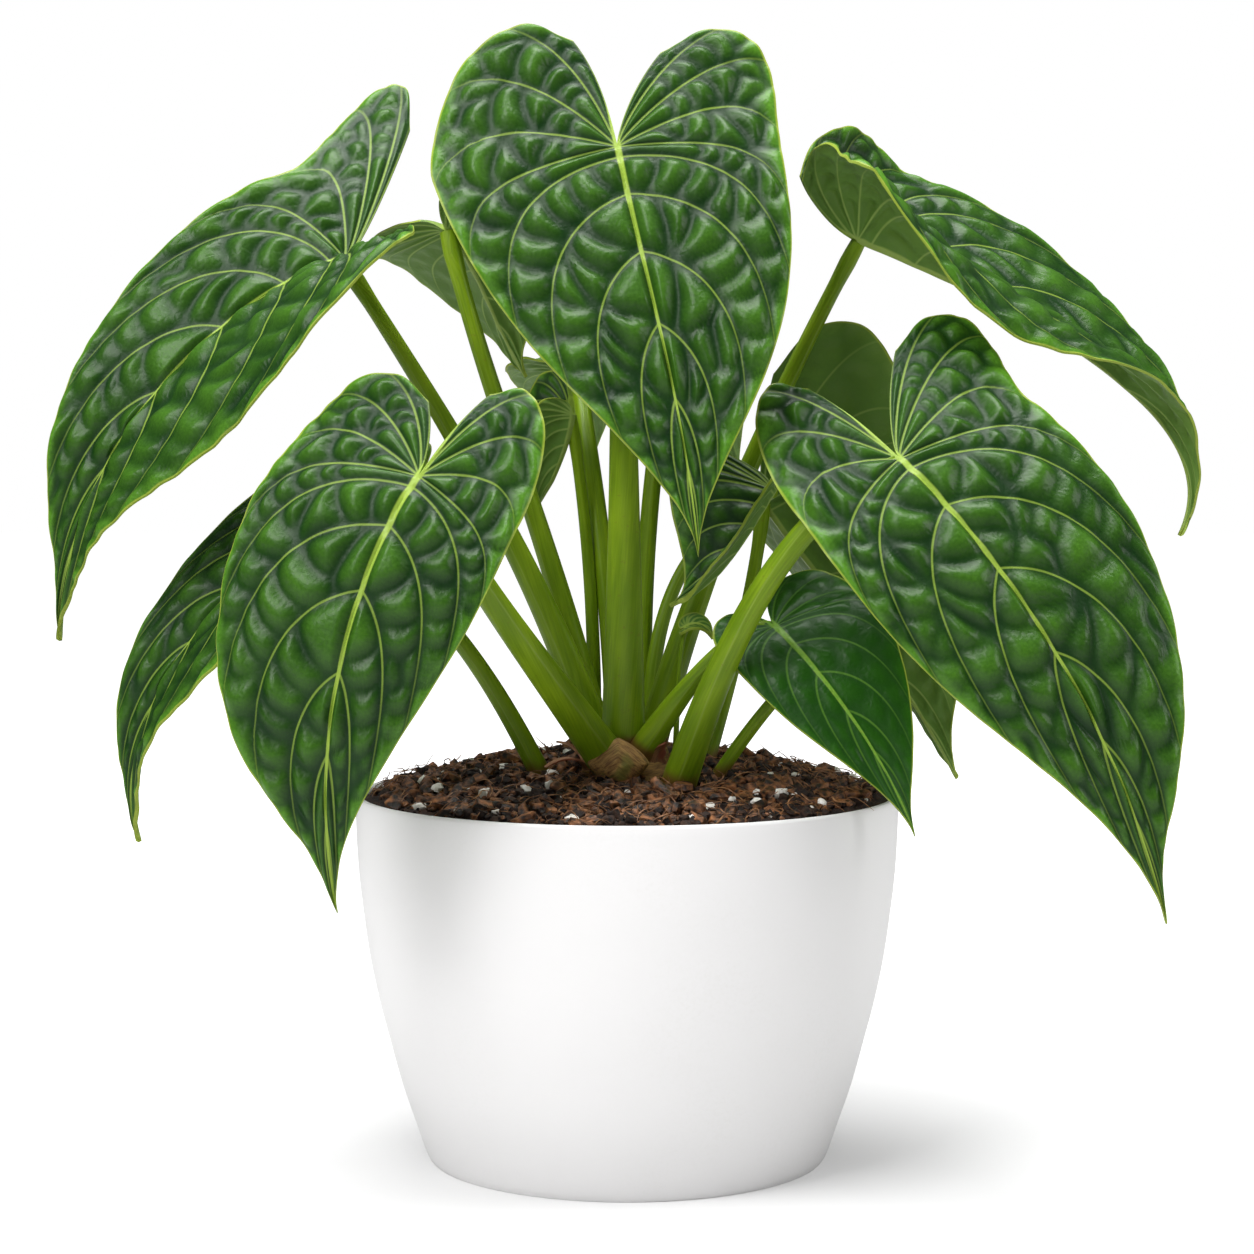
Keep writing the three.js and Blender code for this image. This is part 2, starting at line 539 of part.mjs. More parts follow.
// A dry bract: a pointed, cupped sheet that rises from the crown's side and leans outwards.
function bractGeometry(bract, grow = 0) {
  const bearing = radians(bract.bearing - 90);
  const out = new THREE.Vector3(Math.cos(bearing), Math.sin(bearing), 0);
  const side = new THREE.Vector3(-Math.sin(bearing), Math.cos(bearing), 0);
  const lean = radians(bract.lean);
  const foot = out.clone().multiply(new THREE.Vector3(1, CROWN_DEPTH, 0)).multiplyScalar(BRACT_FOOT_RADIUS);
  foot.add(new THREE.Vector3(...CROWN_PLACE, bract.foot));
  const upper = [];
  const lower = [];
  for (let k = 0; k <= BRACT_ROWS; k += 1) {
    const u = k / BRACT_ROWS;
    const angle = lean * u * u;
    const spine = foot.clone().addScaledVector(out, bract.length * u * Math.sin(angle) + BRACT_OUTWARD * u);
    spine.z += bract.length * u * Math.cos(angle);
    const width = BRACT_HALF_WIDTH * (1 - u * u) + BRACT_TIP;
    const skin = out.clone().multiplyScalar(Math.cos(angle));
    skin.z -= Math.sin(angle);
    for (const across of [-1, 0, 1]) {
      const point = spine.clone().addScaledVector(side, across * width);
      point.addScaledVector(out, -BRACT_CUP * across * across * (1 - u));
      upper.push(point.clone().addScaledVector(skin, BRACT_HALF_THICKNESS + grow));
      lower.push(point.clone().addScaledVector(skin, -BRACT_HALF_THICKNESS - grow));
    }
  }
  const triangles = [];
  for (let k = 0; k < BRACT_ROWS; k += 1) {
    for (const j of [0, 1]) {
      const a = 3 * k + j;
      triangles.push([a, a + 1, a + 4], [a, a + 4, a + 3]);
    }
  }
  const right = Array.from({ length: BRACT_ROWS + 1 }, (_, k) => 3 * k + 2);
  const left = Array.from({ length: BRACT_ROWS + 1 }, (_, k) => 3 * k).reverse();
  return sheetGeometry(upper, lower, triangles, [1, ...right, 3 * BRACT_ROWS + 1, ...left], grow);
}

// Closed mesh to solid and back, to cut pieces clear of each other.
function toSolid(geometry) {
  const bare = geometry.clone();
  bare.deleteAttribute('normal');
  bare.deleteAttribute('uv');
  const merged = mergeVertices(bare, 1e-4);
  const vertProperties = new Float32Array(merged.attributes.position.array);
  const triVerts = new Uint32Array(merged.index.array);
  return new wasm.Manifold(new wasm.Mesh({ numProp: 3, vertProperties, triVerts }));
}

function toGeometry(solid) {
  const mesh = solid.getMesh();
  const geometry = new THREE.BufferGeometry();
  geometry.setAttribute('position', new THREE.Float32BufferAttribute(Array.from(mesh.vertProperties), 3));
  geometry.setIndex(Array.from(mesh.triVerts));
  return geometry;
}

// The largest piece of a solid that cuts have parted, without the slivers that they left.
function largest(solid) {
  return solid.simplify(SLIVER).decompose().sort((a, b) => b.volume() - a.volume())[0];
}

// A stalk's end is cut off parallel to its blade, just under the midrib's keel.
function trimmedUnder(blade, solid) {
  const midrib = new Midrib(blade);
  const under = midribNormal(midrib, VEINS).negate();
  const depth = BLADE_THICKNESS / 2 + (blade.rib ?? RIB_DEPTH) + GAP;
  return solid.trimByPlane(under.toArray(), under.dot(midrib.at(0).place) + depth);
}

function crownSolid(grow) {
  const [foot, ...side] = CROWN_PROFILE;
  const top = side.pop();
  const grown = side.map(([r, z]) => [r + grow, z]);
  const profile = [[0, foot[1] - grow], ...grown, [0, top[1] + grow]];
  const body = turned(profile, CROWN_SEGMENTS).scale(1, CROWN_DEPTH, 1).translate(...CROWN_PLACE, 0);
  let solid = toSolid(body);
  for (const bract of BRACTS) solid = solid.add(toSolid(bractGeometry(bract, grow)));
  return solid;
}

const material = (colour, roughness) => new THREE.MeshStandardMaterial({ color: colour, roughness, metalness: 0 });
const bladeMaterial = material(COLOURS.blade, 0.35);
const youngMaterial = material(COLOURS.youngBlade, 0.4);
const stalkMaterial = material(COLOURS.stalk, 0.45);
const plant = new THREE.Group();

function addMesh(name, geometry, surface) {
  const mesh = new THREE.Mesh(geometry, surface);
  geometry.computeVertexNormals();
  mesh.name = name;
  plant.add(mesh);
}

// Blades stay whole. Stalks are cut back from the crown, their own blade and the stalks before them.
const YOUNG = ['back_left', 'back_right', 'rear_left', 'newest'];
for (const [name, blade] of Object.entries(BLADES)) {
  addMesh(`blade_${name}`, bladeGeometry(blade), YOUNG.includes(name) ? youngMaterial : bladeMaterial);
}

const crown = crownSolid(0);
const crownWithGap = crownSolid(GAP);
const stalksWithGap = [];
let soil = toSolid(soilGeometry()).subtract(crownWithGap);
for (const [name, stalk] of Object.entries(STALKS)) {
  let solid = toSolid(stalkGeometry(stalk)).subtract(crownWithGap);
  solid = trimmedUnder(BLADES[name], solid).subtract(toSolid(bladeGeometry(BLADES[name], GAP)));
  for (const other of stalksWithGap) solid = solid.subtract(other);
  const wider = toSolid(stalkGeometry(stalk, GAP));
  stalksWithGap.push(wider);
  soil = soil.subtract(wider);
  addMesh(`stalk_${name}`, toGeometry(largest(solid)), stalkMaterial);
}

addMesh('crown', toGeometry(crown), material(COLOURS.crown, 0.8));
addMesh('soil', toGeometry(largest(soil)), material(COLOURS.soil, 0.95));
addMesh('pot', potGeometry(), material(COLOURS.pot, 0.3));

export default plant;
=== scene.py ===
"""The looks of a potted anthurium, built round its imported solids.

Sizes are in millimetres, from the same values as the solids, and become metres where a mesh is made.
+Z is up, the origin is the middle of the pot's flat underside, and -Y is the plant's front.
"""
import json
import logging
import math
from dataclasses import dataclass, field
from enum import Enum

import bpy
import numpy as np
from mathutils import Euler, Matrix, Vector

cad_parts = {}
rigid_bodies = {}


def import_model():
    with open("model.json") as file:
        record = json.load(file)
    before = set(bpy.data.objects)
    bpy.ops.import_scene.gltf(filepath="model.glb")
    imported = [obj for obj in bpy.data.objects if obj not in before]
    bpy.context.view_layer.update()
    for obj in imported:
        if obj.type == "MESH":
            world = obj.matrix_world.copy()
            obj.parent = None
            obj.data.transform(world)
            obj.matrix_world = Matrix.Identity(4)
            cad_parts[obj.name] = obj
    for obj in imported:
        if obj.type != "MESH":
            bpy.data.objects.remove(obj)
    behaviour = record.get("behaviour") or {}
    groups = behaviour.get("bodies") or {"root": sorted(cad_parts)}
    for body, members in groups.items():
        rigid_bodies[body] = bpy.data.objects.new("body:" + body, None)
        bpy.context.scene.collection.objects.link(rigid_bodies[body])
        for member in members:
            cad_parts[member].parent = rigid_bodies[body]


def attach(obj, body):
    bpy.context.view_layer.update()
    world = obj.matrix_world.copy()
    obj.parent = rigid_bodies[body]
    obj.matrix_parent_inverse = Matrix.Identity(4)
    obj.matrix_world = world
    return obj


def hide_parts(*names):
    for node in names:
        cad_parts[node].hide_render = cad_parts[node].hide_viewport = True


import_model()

log = logging.getLogger("plant")

METRES = 0.001
BODY = "root"

Colour = tuple[float, float, float]
Point = tuple[float, float, float]
Pair = tuple[float, float]
Path = tuple[Point, Point, Point, Point]
Face = tuple[int, ...]
Socket = bpy.types.NodeSocket
Feed = Socket | float | Colour

# The pot and the mix in it.
POT_HEIGHT = 121.5
POT_RADIUS = 90.0
POT_WALL = 2.6
POT_FLOOR = 4.0
SOIL_EDGE_DROP = 2.0
SOIL_EDGE_EASE = 0.12
SOIL_MOUND = 10.5
SOIL_BACK_TILT = 0.07
SOIL_LUMP = 1.5
GAP = 0.3

# A blade's thickness, and its midrib's keel, ridge and pale line.
BLADE_THICKNESS = 0.8
RIB_WIDTH = 2.6
RIDGE_WIDTH = 0.9
RIDGE_HEIGHT = 0.45
RIB_LINE = 0.36
RIB_LINE_GROWTH = 0.85
RIB_TAPER_VEINS = 2.0
THINNEST_RIB = 0.25

# A blade's lobes, the wave in its margin, and the rows of its mesh.
LOBE_LENGTH = 0.285
LOBE_SPREAD_START = 6.0
WAVE_TURN = 2.1
ROWS_BY_RIB = (0, 0.008, 0.018, 0.032, 0.05)
EVEN_ROWS_FROM = 0.07
JOINED_START = 0.005

# The quilting's cells, which lie in the lanes between the side veins.
CELL_LENGTH = 9.6
CELL_ASPECT = 0.85
CELL_SHORTEST = 4.6
CELL_BREADTH = 1.55
CELL_ARCH = 2.4
CELL_JITTER = 0.24
CELL_STAGGER = 0.5
MARGIN_BAND = 11.0
MARGIN_CELL = 5.6
NARROW_INNER = 5.5
NARROW_OUTER = 2.6
FIRST_CELL = 3.0
LAST_CELL = 1.0
LANE_SAMPLES = 161
LANE_WIDTHS = (0.5, 30)
HALF_SEED = 50
FAR = 1000.0

# The sweep of the veins towards the tip, and over how many veins it sets in.
VEIN_SWEEP = 0.7
SWEEP_VEINS = 4

# The cells' height, and where it fades: at the creases, the margin, the midrib and the tip.
QUILT_GAIN = 2.1
STEEPEST_QUILT = 0.38
CREASE_ROUNDING = 0.7
DOME_REACH = 0.55
DOME_SIZES = (1.5, 9)
MARGIN_HEIGHT = 0.35
MARGIN_FADE = 3.0
RIB_FADE = 3.5
TIP_FADE = 1.5

# The crown's own upright axis, its depth against its width, and its outline.
CROWN_PLACE = (0.0, -7.0)
CROWN_DEPTH = 1.27
CROWN_RADII = (0.0, 9.0, 13.0, 14.5, 15.0, 13.0, 8.0, 0.0)
CROWN_HEIGHTS = (104.0, 105.0, 112.0, 122.0, 129.0, 137.0, 143.0, 145.0)

# Half of a blade's outline from tip to lobe, and for each of its points the vein that runs there.
OUTLINE_ACROSS = (0, 0.03, 0.105, 0.27, 0.52, 0.755, 0.925, 1, 0.97, 0.79, 0.47, 0.19)
OUTLINE_ALONG = (1, 0.94, 0.865, 0.76, 0.615, 0.455, 0.28, 0.09, -0.09, -0.225, -0.285, -0.245)
VEIN_START = (1, 0.8, 0.64, 0.46, 0.28, 0.13, 0.03, 0, 0, 0, 0, 0)
VEIN_OUTWARD = (0.75, 0.75, 0.75, 0.75, 0.74, 0.73, 0.71, 0.64, 0.55, 0.43, 0.32, 0.18)
VEIN_ONWARD = (0.3, 0.3, 0.27, 0.24, 0.21, 0.17, 0.12, 0.35, 0.85, 0.7, 0.67, 0.6)
VEINS = len(OUTLINE_ACROSS) - 1


def spline(values: tuple[float, ...], t: np.ndarray) -> np.ndarray:
    """Follows a uniform Catmull-Rom curve through numbers that stand one step apart.

    Args:
        values: The numbers.
        t: Where to read the curve, in steps.

    Returns:
        The curve's value at each t.
    """
    known = np.asarray(values, float)
    last = len(known) - 1
    i = np.clip(np.floor(t).astype(int), 0, last - 1)
    f = t - i
    padded = np.concatenate([[2 * known[0] - known[1]], known, [2 * known[-1] - known[-2]]])
    a, b, c, d = (padded[i + k] for k in range(4))
    square = 2 * a - 5 * b + 4 * c - d
    cube = 3 * b - a - 3 * c + d
    return 0.5 * (2 * b + (c - a) * f + square * f**2 + cube * f**3)


def unit(vectors: np.ndarray) -> np.ndarray:
    """Scales each row to length 1."""
    return vectors / np.maximum(np.linalg.norm(vectors, axis=-1, keepdims=True), 1e-9)


def dot(a: np.ndarray, b: np.ndarray) -> np.ndarray:
    """Multiplies row by row and keeps the last axis for broadcasting."""
    return (a * b).sum(-1, keepdims=True)


def bump_at(distance: np.ndarray, width: float) -> np.ndarray:
    """Gives 1 at distance 0 and falls off like a bell within width."""
    return np.exp(-((distance / width) ** 2))


def domed(share: np.ndarray) -> np.ndarray:
    """Rises from 0 and levels out at 1."""
    return np.sin(np.pi / 2 * np.clip(share, 0, 1))


def rounded(distance: np.ndarray) -> np.ndarray:
    """Rounds off the sharp valley where a distance passes zero."""
    return np.sqrt(distance**2 + CREASE_ROUNDING**2) - CREASE_ROUNDING


def evened(values: np.ndarray) -> np.ndarray:
    """Evens out a grid's values between neighbouring columns and rows.

    Args:
        values: One value for each place, by column and row.

    Returns:
        The evened values, of the same shape.
    """
    for axis in (0, 1):
        last = values.shape[axis] - 1
        before = np.maximum(np.arange(last + 1) - 1, 0)
        after = np.minimum(np.arange(last + 1) + 1, last)
        values = 0.25 * values.take(before, axis) + 0.5 * values + 0.25 * values.take(after, axis)
    return values


def sweep(vein: np.ndarray, s: np.ndarray) -> np.ndarray:
    """Says how many steps a vein has swept tipwards at a share of its length."""
    return VEIN_SWEEP * s**4 * np.clip((VEINS - vein) / SWEEP_VEINS, 0, 1)


def full_turn(steps: int) -> np.ndarray:
    """Gives that many angles, evenly spaced round a circle."""
    return 2 * np.pi * np.arange(steps) / steps


def distances(path: np.ndarray) -> np.ndarray:
    """Gives each point's distance along a path that has one point in a row."""
    return np.concatenate([[0], np.cumsum(np.linalg.norm(np.diff(path, axis=0), axis=1))])


class Bezier:
    """A cubic curve that is read by the distance along it."""

    SAMPLES = 241

    def __init__(self, path: Path) -> None:
        """Measures the curve.

        Args:
            path: Its end points and the two control points between them.
        """
        self.path = np.array(path, float)
        self.shares = np.linspace(0, 1, self.SAMPLES)
        self.travelled = distances(self.point(self.shares))
        self.length = float(self.travelled[-1])

    def point(self, u: np.ndarray) -> np.ndarray:
        """Gives the points at the curve's own parameter.

        Args:
            u: The parameter, from 0 to 1.

        Returns:
            The points.
        """
        a, b, c, d = self.path
        v = u[..., None]
        return (1 - v) ** 3 * a + 3 * v * (1 - v) ** 2 * b + 3 * v**2 * (1 - v) * c + v**3 * d

    def at(self, share: np.ndarray) -> tuple[np.ndarray, np.ndarray]:
        """Reads the curve at shares of its length.

        Args:
            share: Shares from 0 to 1.

        Returns:
            The points and the directions along the curve there.
        """
        u = np.interp(share * self.length, self.travelled, self.shares)
        a, b, c, d = self.path
        v = u[..., None]
        forward = (1 - v) ** 2 * (b - a) + 2 * v * (1 - v) * (c - b) + v**2 * (d - c)
        return self.point(u), unit(forward)


def quads_round(ids: np.ndarray, anticlockwise: bool = False) -> list[Face]:
    """Lists the quads between rings of vertices.

    Args:
        ids: Vertex numbers by ring and place in the ring.
        anticlockwise: Whether the rings run anticlockwise, seen from before the first ring.

    Returns:
        The faces, ring by ring.
    """
    after = np.roll(ids, -1, axis=1)
    corners = (ids[:-1], after[:-1], after[1:], ids[1:])
    if anticlockwise:
        corners = (ids[:-1], ids[1:], after[1:], after[:-1])
    return [tuple(quad) for quad in np.stack(corners, -1).reshape(-1, 4).tolist()]


def closed_rings(rings: int, around: int, anticlockwise: bool = False) -> list[Face]:
    """Lists the faces of rings that one point closes at either end.

    Args:
        rings: How many rings there are.
        around: How many points a ring has.
        anticlockwise: Whether the rings run anticlockwise, seen from the first point.

    Returns:
        The faces, where vertex 0 closes the first ring and the last vertex the last one.
    """
    ids = 1 + np.arange(rings * around).reshape(rings, around)
    last = rings * around + 1
    first_steps = list(zip(ids[0].tolist(), np.roll(ids[0], -1).tolist()))
    last_steps = list(zip(ids[-1].tolist(), np.roll(ids[-1], -1).tolist()))
    if anticlockwise:
        first_fan = [(0, a, b) for a, b in first_steps]
        last_fan = [(a, last, b) for a, b in last_steps]
    else:
        first_fan = [(0, b, a) for a, b in first_steps]
        last_fan = [(last, a, b) for a, b in last_steps]
    return first_fan + quads_round(ids, anticlockwise) + last_fan


def tube(rings: int, around: int) -> list[Face]:
    """Lists the faces of a tube with flat ends.

    Args:
        rings: How many rings of vertices it has.
        around: How many vertices a ring has.

    Returns:
        The quads round it and the two ends.
    """
    ids = np.arange(rings * around).reshape(rings, around)
    return [*quads_round(ids), tuple(ids[0, ::-1].tolist()), tuple(ids[-1].tolist())]


def wall(loop: list[int], count: int) -> list[Face]:
    """Lists the faces that join a sheet's two skins along its border.

    Args:
        loop: The border's vertices on the first skin, clockwise.
        count: How many vertices one skin has.

    Returns:
        One face for each step of the loop.
    """
    steps = [(int(a), int(b)) for a, b in zip(loop, [*loop[1:], loop[0]])]
    return [(a, a + count, b + count, b) for a, b in steps]


def make_object(
    name: str,
    vertices: np.ndarray,
    faces: list[Face],
    materials: list[bpy.types.Material],
    slots: list[int] | None = None,
    sharp_degrees: float = 60,
) -> bpy.types.Object:
    """Makes a smooth mesh object from millimetres.

    Args:
        name: The object's name.
        vertices: Its points, one row each.
        faces: Its faces as vertex numbers, outward side counter-clockwise.
        materials: Its materials.
        slots: Which material each face has; the first one where it isn't given.
        sharp_degrees: Edges that bend more than this stay sharp.

    Returns:
        The object, linked to the scene.
    """
    mesh = bpy.data.meshes.new(name)
    mesh.from_pydata((vertices * METRES).tolist(), [], faces)
    for material in materials:
        mesh.materials.append(material)
    if slots is not None:
        mesh.polygons.foreach_set("material_index", slots)
    mesh.shade_smooth()
    mesh.set_sharp_from_angle(angle=math.radians(sharp_degrees))
    made = bpy.data.objects.new(name, mesh)
    bpy.context.scene.collection.objects.link(made)
    return made


def add_values(made: bpy.types.Object, name: str, values: np.ndarray) -> None:
    """Stores one number or one vector for each vertex.

    Args:
        made: The mesh object.
        name: The attribute's name.
        values: A row for each vertex.
    """
    flat = np.asarray(values, np.float32)
    kind, key = ("FLOAT_VECTOR", "vector") if flat.ndim == 2 else ("FLOAT", "value")
    attribute = made.data.attributes.new(name, kind, "POINT")
    attribute.data.foreach_set(key, flat.ravel())


def settle(made: bpy.types.Object, slot: str, *nodes: str) -> bpy.types.Object:
    """Puts a finished piece on the body and in place of its nodes.

    Args:
        made: The piece.
        slot: The record's material slot; not used.
        nodes: The nodes that it stands for.

    Returns:
        The piece.
    """
    if nodes:
        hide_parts(*nodes)
    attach(made, BODY)
    log.info("%s: %d faces", made.name, len(made.data.polygons))
    return made


class Graph:
    """Adds nodes to one tree and links them by socket name."""

    MIX_A, MIX_B, MIX_RESULT = 6, 7, 2

    def __init__(self, tree: bpy.types.NodeTree) -> None:
        """Keeps the tree.

        Args:
            tree: The tree to build in.
        """
        self.tree = tree

    @staticmethod
    def live(sockets: bpy.types.NodeInputs, name: str) -> Socket:
        """Finds the socket in use among those of one name."""
        return next(s for s in sockets if s.name == name and s.enabled)

    def add(self, kind: str, inputs: dict | None = None, **settings: object) -> bpy.types.Node:
        """Adds a node.

        Args:
            kind: The node's type.
            inputs: Values or sockets for its inputs, by name or number.
            settings: Its own settings.

        Returns:
            The node.
        """
        node = self.tree.nodes.new(kind)
        for key, value in settings.items():
            setattr(node, key, value)
        for key, value in (inputs or {}).items():
            socket = node.inputs[key] if isinstance(key, int) else self.live(node.inputs, key)
            if isinstance(value, Socket):
                self.tree.links.new(value, socket)
            else:
                socket.default_value = value
        return node

    def out(
        self, kind: str, name: str, inputs: dict | None = None, **settings: object
    ) -> Socket:
        """Adds a node and gives its named output."""
        return self.live(self.add(kind, inputs, **settings).outputs, name)

    def math(self, operation: str, a: Feed, b: Feed = 0.0) -> Socket:
        """Adds a sum on two numbers."""
        return self.out("ShaderNodeMath", "Value", {0: a, 1: b}, operation=operation)

    def mix(self, factor: Feed, a: Feed, b: Feed) -> Socket:
        """Mixes two colours.

        Args:
            factor: The second colour's share.
            a: The first colour.
            b: The second colour.

        Returns:
            The mixed colour.
        """
        first, second = (v if isinstance(v, Socket) else (*v, 1.0) for v in (a, b))
        inputs = {0: factor, self.MIX_A: first, self.MIX_B: second}
        return self.add("ShaderNodeMix", inputs, data_type="RGBA").outputs[self.MIX_RESULT]

    def ease(
        self, value: Feed, start: float, end: float, low: float = 0.0, high: float = 1.0
    ) -> Socket:
        """Maps the range from start to end smoothly to that from low to high."""
        limits = {"Value": value, "From Min": start, "From Max": end, "To Min": low, "To Max": high}
        return self.out("ShaderNodeMapRange", "Result", limits, interpolation_type="SMOOTHSTEP")

    def fade(self, value: Feed, start: float, end: float) -> Socket:
        """Falls smoothly from 1 at start to 0 at end."""
        return self.math("SUBTRACT", 1.0, self.ease(value, start, end))

    def noise(
        self, place: Feed, scale: float, detail: float = 3.0, roughness: float = 0.55
    ) -> Socket:
        """Adds noise and gives its grey value."""
        inputs = {"Vector": place, "Scale": scale, "Detail": detail, "Roughness": roughness}
        return self.out("ShaderNodeTexNoise", "Fac", inputs)

    def value(self, name: str, output: str = "Fac") -> Socket:
        """Reads a mesh attribute."""
        return self.out("ShaderNodeAttribute", output, attribute_name=name)

    def scaled(self, place: Feed, scale: Point) -> Socket:
        """Stretches a place along its axes."""
        return self.out("ShaderNodeMapping", "Vector", {"Vector": place, "Scale": scale})

    def bump(
        self, height: Feed, distance: float, strength: float, normal: Feed | None = None
    ) -> Socket:
        """Turns a height into a bent normal.

        Args:
            height: The height.
            distance: How many metres a height of 1 stands for.
            strength: How much of the bend is used.
            normal: A normal that is bent already, where there is one.

        Returns:
            The bent normal.
        """
        inputs = {"Height": height, "Distance": distance, "Strength": strength}
        if normal is not None:
            inputs["Normal"] = normal
        return self.out("ShaderNodeBump", "Normal", inputs)

    def dress(self, shader: bpy.types.Node, colour: Socket, rough: Socket, normal: Socket) -> None:
        """Links a shader's colour, roughness and normal.

        Args:
            shader: The shader.
            colour: Its colour.
            rough: Its roughness.
            normal: Its bent normal.
        """
        for name, socket in (("Base Color", colour), ("Roughness", rough), ("Normal", normal)):
            self.tree.links.new(socket, shader.inputs[name])


def new_material(name: str) -> tuple[bpy.types.Material, Graph, bpy.types.Node]:
    """Makes an empty material.

    Args:
        name: The material's name.

    Returns:
        The material, its graph and its shader node.
    """
    material = bpy.data.materials.new(name)
    material.use_nodes = True
    graph = Graph(material.node_tree)
    return material, graph, material.node_tree.nodes["Principled BSDF"]


def new_group(
    name: str, inputs: dict[str, float | Colour], outputs: dict[str, str]
) -> tuple[bpy.types.NodeTree, Graph, dict[str, Socket]]:
    """Makes a shader node group with named sockets.

    Args:
        name: The group's name.
        inputs: Each input's name and default: a number or a colour.
        outputs: Each output's name and socket type.

    Returns:
        The group, its graph and its input sockets by name.
    """
    tree = bpy.data.node_groups.new(name, "ShaderNodeTree")
    for key, value in inputs.items():
        kind = "NodeSocketColor" if isinstance(value, tuple) else "NodeSocketFloat"
        socket = tree.interface.new_socket(key, in_out="INPUT", socket_type=kind)
        socket.default_value = (*value, 1.0) if isinstance(value, tuple) else value
    for key, kind in outputs.items():
        tree.interface.new_socket(key, in_out="OUTPUT", socket_type=kind)
    graph = Graph(tree)
    given = graph.add("NodeGroupInput")
    return tree, graph, {key: given.outputs[key] for key in inputs}


@dataclass(frozen=True)
class Finish:
    """A named finish, which makes its material once."""

    name: str

    def material(self) -> bpy.types.Material:
        """Finds the finish's material, or makes it.

        Returns:
            The material.
        """
        if self.name in bpy.data.materials:
            return bpy.data.materials[self.name]
        material, graph, shader = new_material(self.name)
        self.paint(graph, shader)
        return material

    def paint(self, g: Graph, shader: bpy.types.Node) -> None:
        """Draws the finish in a new material; each kind of finish has its own way."""
        raise NotImplementedError


